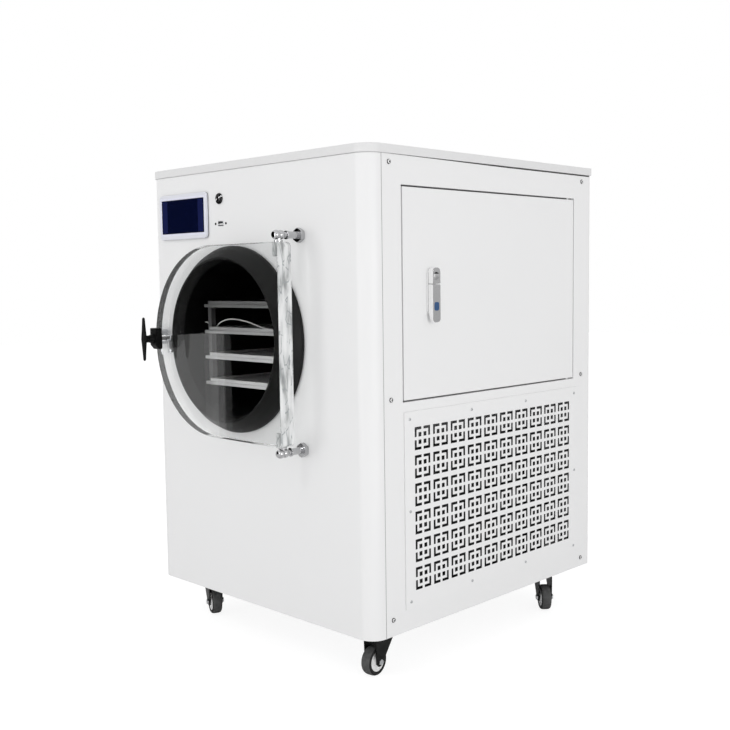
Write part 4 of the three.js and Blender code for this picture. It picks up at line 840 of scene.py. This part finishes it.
screen_middle = middle_of("hmi_screen")
white_moulding = Finish("white_moulding", roughness=0.3)
tint = white_moulding.noise(30)
frame_width, frame_height, contact_shadow_depth = 142 * mm, 72 * mm, 1.6 * mm
aside, above = beside(white_moulding, screen_middle)
near_window = (abs(aside) < frame_width / 2) & (abs(above) < frame_height / 2)
face = white_moulding.blend(tint, rgb(0.76, 0.77, 0.83), rgb(0.72, 0.73, 0.79))
frame_line = white_moulding.blend(tint, rgb(0.80, 0.81, 0.92), rgb(0.76, 0.77, 0.88))
# The housing's edge against the front sheet is painted near black, as painted shade in the joint.
contact_shadow = white_moulding.place("Y") > front_low.y - contact_shadow_depth
marked(white_moulding, white_moulding.blend(near_window, face, frame_line), contact_shadow,
       grey(0.03))
white_moulding.bump(white_moulding.noise(1500), 0.00003)
dressed("hmi_housing", "touch_panel_housing", white_moulding, edge=1.2, steps=3)

display = Finish("display", roughness=0.08, coat_weight=0.0)
aside, above = map(abs, beside(display, screen_middle))
picture_half, rim_from, rim_above = 49 * mm, 65 * mm, 30 * mm
rim = (aside > rim_from) | (above > rim_above)
glow = display.noise(60, 3)
picture = display.blend(glow, rgb(0.0016, 0.003, 0.018), rgb(0.0025, 0.0045, 0.027))
bars = display.blend(glow, rgb(0.009, 0.013, 0.06), rgb(0.012, 0.016, 0.078))
inner_display = display.blend(aside > picture_half, picture, bars)
marked(display, inner_display, rim, rgb(0.006, 0.008, 0.03))
display.bump(display.noise(900), 0.000002)
dressed("hmi_screen", "display_window", display, edge=0.2, steps=1)

# ---- power button
# A polished steel push button: a crowned cap in a round bezel of twenty millimetres, whose
# neck goes through the front sheet. A slanting band of light is painted across both.

button_middle = middle_of("power_button_bezel")
button_middle.y = front_low.y
button_steel = polished("button_steel", 0.12, 0.1, 0.00001)
aside, above = beside(button_steel, button_middle)
glint_slope, glint_half = 0.45, 1.0 * mm
glint = abs(above - glint_slope * aside) < glint_half
# The steel is painted nearly black as painted reflection, and the band as a painted highlight.
marked(button_steel, rgb(0.035, 0.035, 0.036), glint, rgb(0.85, 0.85, 0.86))
bezel = turned("button_bezel", [
    (7.1, -22), (8.2, -22), (8.2, 0.3), (9.7, 0.3), (10, 0.6), (10, 1.5), (9.7, 2.1), (9, 2.6),
    (8.3, 2.8), (7.4, 2.8), (7.1, 2.5)], button_middle, forward, button_steel)
fitted(bezel, "cabinet", "power_button_bezel")
cap = turned("button_cap", [
    (0, -10), (6.8, -10), (6.8, 3.7), (6.6, 4.2), (6, 4.5), (0, 4.7)],
    button_middle, forward, button_steel)
fitted(cap, "power_button", "power_button")

# ---- USB socket
# A bright steel shell that comes through the front sheet, with a white tongue inside. Two
# small black screws, at its left and right, hold the socket.

dressed("usb_socket", "usb_shell", bright_steel, edge=0.2, steps=1)
black_moulding = mottled("black_moulding", (60, 3), grey(0.002), grey(0.006), (1400, 2),
                         0.00004, (0.34, 0.16), specular_ior_level=0.1)
tongue_white = mottled("usb_tongue_white", (200,), grey(0.86), grey(0.78), (900,), 0.00002,
                       roughness=0.35)
usb_middle = at(-76.7, front_y, 697.7)
tongue_size = Vector((10.8, 17.8, 2.4)) * mm
tongue_middle = usb_middle + Vector((0, 9.7, -1)) * mm
tongue = brick("usb_tongue", tongue_size, Matrix.Translation(tongue_middle), tongue_white)
fitted(eased(tongue, 0.15), "cabinet")
screw_place = 15.2
for side, name in ((-1, "usb_screw_left"), (1, "usb_screw_right")):
    stud = turned(name, [(0, 0.1), (2.1, 0.1), (2.1, 0.6), (1.5, 1.2), (0, 1.3)],
                  usb_middle + Vector((side * screw_place, 0, 0)) * mm, forward,
                  black_moulding, 24)
    fitted(stud, "cabinet")

# ---- hinge posts
# Two polished posts carry the clear door. Each has a hexagon nut at the panel, a rod, a
# collar and two ball nuts, and a pin that goes up or down into the door's edge.

hinge_x, door_centre, door_half, beyond_door = 140.5, 485.5, 170.5, 12
post_places = {"top": (door_centre + door_half + beyond_door, -1),
               "bottom": (door_centre - door_half - beyond_door, 1)}
pin_front = 49.3
ball_radius, ball_offset = 8, 4.75


def lofted(name, rings, finish, smooth=30):
    """A closed piece through rings of points, with flat ends."""
    form = bmesh.new()
    rings = [[form.verts.new(point) for point in ring] for ring in rings]
    skin(form, rings)
    form.faces.new(rings[0])
    form.faces.new(rings[-1])
    return new_piece(name, form, finish, smooth)


def hexagon_nut(name, middle, axis, flats, low, high, finish):
    """A hexagon nut with a corner upwards, made as a prism cut by a turned blank."""
    along, second = Vector(axis).normalized(), Vector((0, 0, 1))
    first = second.cross(along)
    radius = flats / math.sqrt(3)
    corners = [(first * math.cos(angle) + second * math.sin(angle)) * radius
               for angle in (math.pi * (i / 3 + 1 / 6) for i in range(6))]
    nut = lofted(name, [[middle + (corner + along * place) * mm for corner in corners]
                        for place in (low, high)], finish)
    chamfer = 0.1 * radius
    blank = turned("blank", [
        (0, low), (radius - chamfer, low), (radius + 0.1, low + 0.5 * chamfer),
        (radius + 0.1, high - 0.5 * chamfer), (radius - chamfer, high), (0, high)],
        middle, axis, finish, 48)
    return smoothed(cut_away(nut, blank, operation="INTERSECT"), 20)


def joined_pieces(name, *objects):
    """Several shapes of one real piece, kept as one object."""
    form = bmesh.new()
    for obj in objects:
        form.from_mesh(obj.data)
    joined = from_form(name, form)
    for material in objects[0].data.materials:
        joined.data.materials.append(material)
    discard(*objects)
    return joined


def arc_points(x, y, radius, start, stop, steps=10):
    """Points along an arc, with its angles in degrees."""
    angles = [math.radians(start + (stop - start) * i / steps) for i in range(steps + 1)]
    return [(x + radius * math.cos(angle), y + radius * math.sin(angle)) for angle in angles]


post_steel = polished("post_steel", 0.05, 0.06, 0.00002, base_color=rgb(0.52, 0.52, 0.53))

for end, (z, towards) in post_places.items():
    foot = at(hinge_x, front_y, z)
    rod = turned(f"post_rod_{end}", [
        (0, 7), (6, 7), (6, 29.4), (7, 29.7), (7.4, 30.3), (7.4, 32.7), (7, 33.3), (5, 33.5),
        (5, 38.2), *arc_points(0, pin_front - ball_offset, ball_radius, -50, 42), (4.6, pin_front),
        *arc_points(0, pin_front + ball_offset, ball_radius, -42, 48), (4.6, 60.2), (0, 60.2)],
        foot, forward, post_steel, 64, smooth=25)
    nut = hexagon_nut(f"post_nut_{end}", foot, forward, 22, 0.3, 8, post_steel)
    hinge_pin = turned(f"post_pin_{end}", [
        (0, 0), (5, 0), (5, 8.7), (7.5, 8.7), (7.5, 11.4), (7.2, 11.7), (5, 11.7), (5, 33),
        (4, 34), (0, 34)], foot + forward * pin_front * mm, (0, 0, towards), post_steel, 48)
    post = joined_pieces(f"hinge_post_{end}_dressed", rod, nut, hinge_pin)
    fitted(post, "cabinet", f"hinge_post_{end}")

# ---- clear door
# A plate of clear cast acrylic, thirty millimetres thick: half round on the latch side and
# square on the hinge side, where its edge is left as milled. It has a bore for each hinge pin
# and one for the latch.

acrylic = Finish("clear_acrylic", base_color=rgb(0.99, 0.996, 0.994), transmission_weight=1.0,
                 ior=1.49, coat_weight=0.5, coat_roughness=0.0)
acrylic.shade(roughness=0.012 * acrylic.noise(35, 3))
acrylic.bump(acrylic.noise(55, 3, (1, 0.4, 1)), 0.00002, 0.4)
shadow_rays, diffuse_rays = (acrylic.node("LightPath", output=rays) for rays in (
    "Is Shadow Ray", "Is Diffuse Ray"))
acrylic.end_with(shadow_rays | diffuse_rays, acrylic.node(
    "BsdfTransparent", inputs={"Color": rgb(0.98, 0.985, 0.983)}))

milled_edge = Finish("milled_edge", specular_ior_level=0.4)
streaks = milled_edge.noise(48, 4, (1, 1.6, 0.35))
stretched = milled_edge.node("Mapping", inputs={0: milled_edge.place(), "Scale": (1, 1.5, 0.6)})
crease = milled_edge.node("TexVoronoi", {"feature": "DISTANCE_TO_EDGE"}, {
    "Vector": stretched, "Scale": 60})
frost = milled_edge.ramp(
    streaks, (0.34, rgb(0.32, 0.33, 0.33)), (0.46, rgb(0.60, 0.61, 0.61)),
    (0.56, rgb(0.75, 0.76, 0.76)), (0.72, rgb(0.87, 0.872, 0.872)))
crease_width, creased_below = 0.035, 0.52
creases = (crease < crease_width) * (streaks < creased_below)
marked(milled_edge, frost, creases, rgb(0.34, 0.36, 0.37))
milled_edge.shade(roughness=0.15 + 0.3 * streaks)
milled_edge.bump(streaks, 0.0003, 0.4)

door_low, door_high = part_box("chamber_door")
door_radius = (door_high.z - door_low.z) / 2
door_middle_z = (door_high.z + door_low.z) / 2
door_round = door_low.x + door_radius
door_corner = 8 * mm
door_outline = [
    *arc_points(door_high.x - door_corner, door_low.z + door_corner, door_corner, -90, 0),
    *arc_points(door_high.x - door_corner, door_high.z - door_corner, door_corner, 0, 90),
    *arc_points(door_round, door_middle_z, door_radius, 90, 270, 96)]
door = lofted("acrylic_door", [[(x, y, z) for x, z in door_outline]
                               for y in (door_high.y, door_low.y)], acrylic)
hinge_axis = at(hinge_x, front_y - pin_front, door_centre)
latch_axis = at(-189, front_y, 487)
bores = [turned("bore", [(0, 0), (5.5, 0), (5.5, 24), (0, 25)],
                Vector((hinge_axis.x, hinge_axis.y, edge_z + towards * mm)), (0, 0, -towards),
                acrylic, 48)
         for edge_z, towards in ((door_high.z, 1), (door_low.z, -1))]
bores.append(turned("bore", [(0, 30), (5.4, 30), (5.4, 70), (0, 70)], latch_axis, forward,
                    acrylic, 48))
eased(cut_away(door, *bores), 1.0, steps=3, over=50)
cover(door, acrylic, milled_edge)
bore_reach = 6 * mm
for face in door.data.polygons:
    milled = face.normal.x > 0.3 and face.center.x > door_high.x - door_corner
    from_pin = Vector((face.center.x - hinge_axis.x, face.center.y - hinge_axis.y))
    face.material_index = int(milled or from_pin.length < bore_reach)
fitted(door, "chamber_door", "chamber_door")

# ---- latch
# A moulded black block is bonded to the door. A steel spindle passes through both, with a
# wing knob on its outer end and a pawl on its inner one, which turns behind a steel keeper.

dressed("latch_block", "latch_boss", black_moulding, "chamber_door", edge=1.2, steps=3)
dressed("latch_spindle", "latch_shaft", bright_steel, "latch", edge=0.5)
dressed("latch_keeper", "latch_strike", bright_steel, edge=0.6)


def wing_rings(end=40.5, tip=3, steps=24, around=24):
    """The bar's sections, from one rounded end to the other, widest in the middle."""
    wing_back = latch_axis + forward * 98.5 * mm
    rings = []
    for step in range(steps + 1):
        place = -end * math.cos(math.pi * step / steps)
        taper = 1 - abs(place) / end
        into_tip = max(0, (abs(place) - end + tip) / tip)
        full = max(math.sqrt(1 - into_tip ** 2), 0.12)
        half_wide = (2.9 + 3.6 * taper ** 1.4) * full
        half_deep = (2.0 + 1.9 * taper ** 1.2) * full
        ring = []
        for i in range(around):
            c, s = math.cos(2 * math.pi * i / around), math.sin(2 * math.pi * i / around)
            x = math.copysign(abs(c) ** 0.7, c) * half_wide
            y = math.copysign(abs(s) ** 0.7, s) * half_deep
            ring.append(wing_back + Vector((x, y, place)) * mm)
        rings.append(ring)
    return rings


hub = turned("wing_hub", [
    (0, 79.4), (8, 79.4), (8.5, 79.9), (8.5, 83), (7.2, 86), (6.6, 89), (6.6, 93), (7.4, 95.6),
    (6.5, 97.9), (0, 97.9)], latch_axis, forward, black_moulding, 64, smooth=40)
knob = joined_pieces("wing_knob_dressed", hub,
                     lofted("wing_bar", wing_rings(), black_moulding, 50))
fitted(knob, "latch", "wing_knob")

# ---- service door
# A pan of the same coated sheet, hung on two hidden pins at its rear edge. Its upper and
# lower edges are painted dark, as deep as the shade of the gaps beside them.

door_coat, door_paint = coated("door_coat")
service_low, service_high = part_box("service_door")
edge_line = 0.8 * mm
dark_edge = ((door_coat.place("Z") > service_high.z - edge_line)
             | (door_coat.place("Z") < service_low.z + edge_line))
marked(door_coat, door_paint, dark_edge, gap_shade)
dressed("service_door", "service_door_pan", door_coat, "service_door", edge=0.7)

# ---- push-button lock
# A flush lock of satin chrome: a backing plate, a head with a round button that frees the
# lever, and the lever, which lifts and then turns the spindle with its cam. A plain blue
# rounded block is printed on the lever.

lock_axis = at(300, -170.5, 597)


def chrome(name):
    """Satin chrome, brushed upwards, with painted reflections: bright sides, grey front faces."""
    finish = Finish(name, metallic=1.0)
    brushed = finish.noise(200, 3, (1, 1, 0.1))
    shade = finish.ramp(finish.place("X", "Normal"), (0.35, grey(0.92)),
                        (0.75, rgb(0.52, 0.52, 0.525)), (1.0, rgb(0.40, 0.40, 0.405)))
    finish.shade(base_color=shade, roughness=0.2 + 0.1 * brushed)
    finish.bump(finish.noise(1200, 2, (1, 1, 0.1)), 0.00002)
    return finish, shade


satin_chrome, _ = chrome("satin_chrome")
lever_finish, lever_shade = chrome("lever_chrome")
half_y, half_z, block_drop, lever_face = 6.2 * mm, 7.2 * mm, 51 * mm, 12.5 * mm
block_y = (lever_finish.place("Y") - lock_axis.y) / half_y
block_z = (lever_finish.place("Z") - (lock_axis.z - block_drop)) / half_z
rounded = block_y * block_y * block_y * block_y + block_z * block_z * block_z * block_z
block = (rounded < 1.0) & (lever_finish.place("X") > lock_axis.x + lever_face)
marked(lever_finish, lever_shade, block, rgb(0.006, 0.06, 0.18))
lever_finish.shade(metallic=1 - block)
button_chrome, button_shade = chrome("button_chrome")
# The top of the button is painted near black, as a painted shadow.
shadow_height = 3.4 * mm
top_shadow = button_chrome.place("Z") > lock_axis.z + shadow_height
marked(button_chrome, button_shade, top_shadow, grey(0.03))

dressed("lock_plate", "lock_backing", satin_chrome, "service_door", edge=0.5)
dressed("lock_rotor", "lock_head", satin_chrome, "lock_rotor", edge=0.8, steps=3)
dressed("lock_lever", "lock_handle", lever_finish, "lock_lever", edge=1.6, steps=3)
press = turned("lock_push_button", [
    (0, 9.3), (6, 9.3), (6, 14.2), (5.7, 14.9), (5, 15.2), (0, 15.2)],
    lock_axis, (1, 0, 0), button_chrome)
fitted(press, "lock_button", "lock_button")

# ---- casters
# Four swivel casters with black steel plates and forks. A wheel is a white nylon centre with
# a black rubber tyre pressed on, and it turns on a riveted axle with a nut.

joints = {joint["name"]: joint for joint in frame["joints"]}
black_paint = mottled("black_paint", (120, 4), grey(0.003), grey(0.008), (800,), 0.00005,
                      (0.26, 0.2), specular_ior_level=0.15)
tyre_rubber = mottled("tyre_rubber", (150, 4), grey(0.005), rgb(0.016, 0.016, 0.017),
                      (900, 3), 0.0001, (0.5, 0.3), specular_ior_level=0.3)
tread_rubber = mottled("tread_rubber", (150, 4), grey(0.04), grey(0.11),
                       (900, 3), 0.0001, (0.5, 0.3), specular_ior_level=0.3)
white_nylon = mottled("white_nylon", (80,), grey(0.93), grey(0.86), (900,), roughness=0.3)

tread_from = 23 * mm
for corner in ("front_right", "front_left", "rear_right", "rear_left"):
    roll_joint = joints[f"wheel_{corner}_roll"]
    axle = Vector(roll_joint["pos_m"])
    side = Vector(roll_joint["axis"])
    dressed(f"caster_plate_{corner}", f"caster_top_{corner}", black_paint, edge=0.5)
    dressed(f"caster_fork_{corner}", f"caster_legs_{corner}", black_paint,
            f"swivel_{corner}", edge=0.7, over=40)
    tyre = turned(f"tyre_{corner}", [
        (17.5, -8.6), (20.5, -9.9), (22.2, -9.7), (23.6, -8.6), (24.6, -6.6), (25, -3.8),
        (25, 3.8), (24.6, 6.6), (23.6, 8.6), (22.2, 9.7), (20.5, 9.9), (17.5, 8.6)],
        axle, side, tyre_rubber, 96, smooth=50)
    cover(tyre, tyre_rubber, tread_rubber)
    for face in tyre.data.polygons:
        outwards = (face.center - axle).length > tread_from
        face.material_index = int(outwards and abs(face.normal.dot(side)) < 0.5)
    centre = turned(f"wheel_centre_{corner}", [
        (4.3, -10.5), (7.5, -10.5), (8, -10), (8, -6.2), (15.8, -6.2), (16.4, -8), (17.5, -8.6),
        (17.5, 8.6), (16.4, 8), (15.8, 6.2), (8, 6.2), (8, 10), (7.5, 10.5), (4.3, 10.5)],
        axle, side, white_nylon, 64)
    fitted(tyre, f"wheel_{corner}", f"caster_wheel_{corner}")
    fitted(centre, f"wheel_{corner}")
    for way, name in ((1, "nut"), (-1, "bolt")):
        head = hexagon_nut(f"axle_{name}_{corner}", axle, side * way, 9, 13.9, 17.2, bright_steel)
        fitted(head, f"swivel_{corner}")

# ---- inner walls and cradle
# Zinc-plated sheets behind the panels: the wall that carries the controls, with its deck over
# the condenser, and the two saddles that the chamber lies on.

dressed("inner_divider", "control_wall", zinc_plate, edge=0.4)
dressed("chamber_cradle", "chamber_saddles", zinc_plate, edge=0.4)

# ---- machinery
# The refrigeration set stands in the base pan: a black compressor can, a finned condenser
# behind the grille, and its fan. A plate on the inner wall carries the controls: bare metal
# supplies, pale casings, black contactors and a row of terminal blocks.

# The condenser is painted near black, as painted shade behind the grille.
fin_coat = mottled("fin_coat", (200, 3), rgb(0.010, 0.010, 0.011), rgb(0.03, 0.03, 0.032),
                   gloss=(0.5, 0.2), specular_ior_level=0.3)
fin_aluminium = mottled("fin_aluminium", (200, 3), rgb(0.36, 0.37, 0.38),
                        rgb(0.5, 0.51, 0.52), gloss=(0.35, 0.2), metallic=0.9)

dressed("compressor", "compressor_can", black_paint, edge=1.5, over=28)
dressed("condenser", "condenser_core", fin_coat, edge=0.3, steps=1)
dressed("fan_shroud", "fan_housing", zinc_plate, edge=0.4)
dressed("fan_blades", "fan_rotor", black_moulding, "fan", edge=0.6)

pale_casing = mottled("pale_casing", (60,), rgb(0.46, 0.47, 0.47), rgb(0.38, 0.39, 0.39),
                      (1200,), roughness=0.4)

terminal_blocks = Finish("terminal_blocks", roughness=0.45)
terminal_pitch, gap_share, earth_every = 6.2 * mm, 0.14, 6
along_row = terminal_blocks.place("Y") / terminal_pitch
terminal_gap = along_row.fraction() < gap_share
earth_block = (along_row / earth_every).fraction() < 1 / earth_every
terminal_colour = terminal_blocks.blend(
    earth_block, rgb(0.42, 0.42, 0.40), rgb(0.06, 0.30, 0.10))
marked(terminal_blocks, terminal_colour, terminal_gap, grey(0.03))
terminal_blocks.bump(1 - terminal_gap, 0.0004)

controls = dressed("control_plate", "control_modules", fin_aluminium, edge=1.2)
controls_low, controls_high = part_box("control_plate")
controls_size = controls_high - controls_low
cover(controls, fin_aluminium, pale_casing, black_moulding, terminal_blocks)
metal, pale, black, terminals = range(4)
plate_gauge = 3 * mm
for face in controls.data.polygons:
    along = (face.center.y - controls_low.y) / controls_size.y
    up = (face.center.z - controls_low.z) / controls_size.z
    if face.center.x < controls_low.x + plate_gauge:
        face.material_index = metal
    elif up < 0.25:
        face.material_index = terminals
    elif up < 0.65:
        face.material_index = black if along < 0.52 else pale
    elif along < 0.45:
        face.material_index = pale
    else:
        face.material_index = black if along > 0.74 else metal

# ---- rear fittings
# A stainless pipe runs from the drum's port out through the back, and ends in a clamp flange
# for the pump hose. A black plastic gland with a hexagon nut is closed by a plug.

port_steel = mottled("port_steel", (120, 3, (1, 6, 1)), rgb(0.48, 0.485, 0.49),
                     rgb(0.60, 0.605, 0.61), gloss=(0.22, 0.16), metallic=1.0)
port_low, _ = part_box("vacuum_port")
port = turned("pump_flange", [
    (10, 0), (19, 0), (19, 5), (13, 5), (13, 245.7), (19.3, 249.2), (20, 249.9), (20, 253.2),
    (19.5, 253.7), (10.6, 253.7), (10, 253.1)],
    Vector((chamber_middle.x, port_low.y, chamber_middle.z)), (0, 1, 0), port_steel, 64)
fitted(port, "cabinet", "vacuum_port")

gland_base = middle_of("cable_gland")
gland_base.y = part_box("cable_gland")[0].y
gland_dome = turned("gland_dome", [
    (0, 0), (8, 0), (8, 16.3), (12.2, 16.3), (12.2, 24), (11.4, 29), (9.6, 33.2), (7.6, 35.4),
    (6, 36), (5.6, 35), (0, 35)], gland_base, (0, 1, 0), black_moulding, 48)
gland_nut = hexagon_nut("gland_nut", gland_base, (0, 1, 0), 22.4, 16.4, 23, black_moulding)
gland = joined_pieces("gland_dressed", gland_dome, gland_nut)
fitted(gland, "cabinet", "cable_gland")
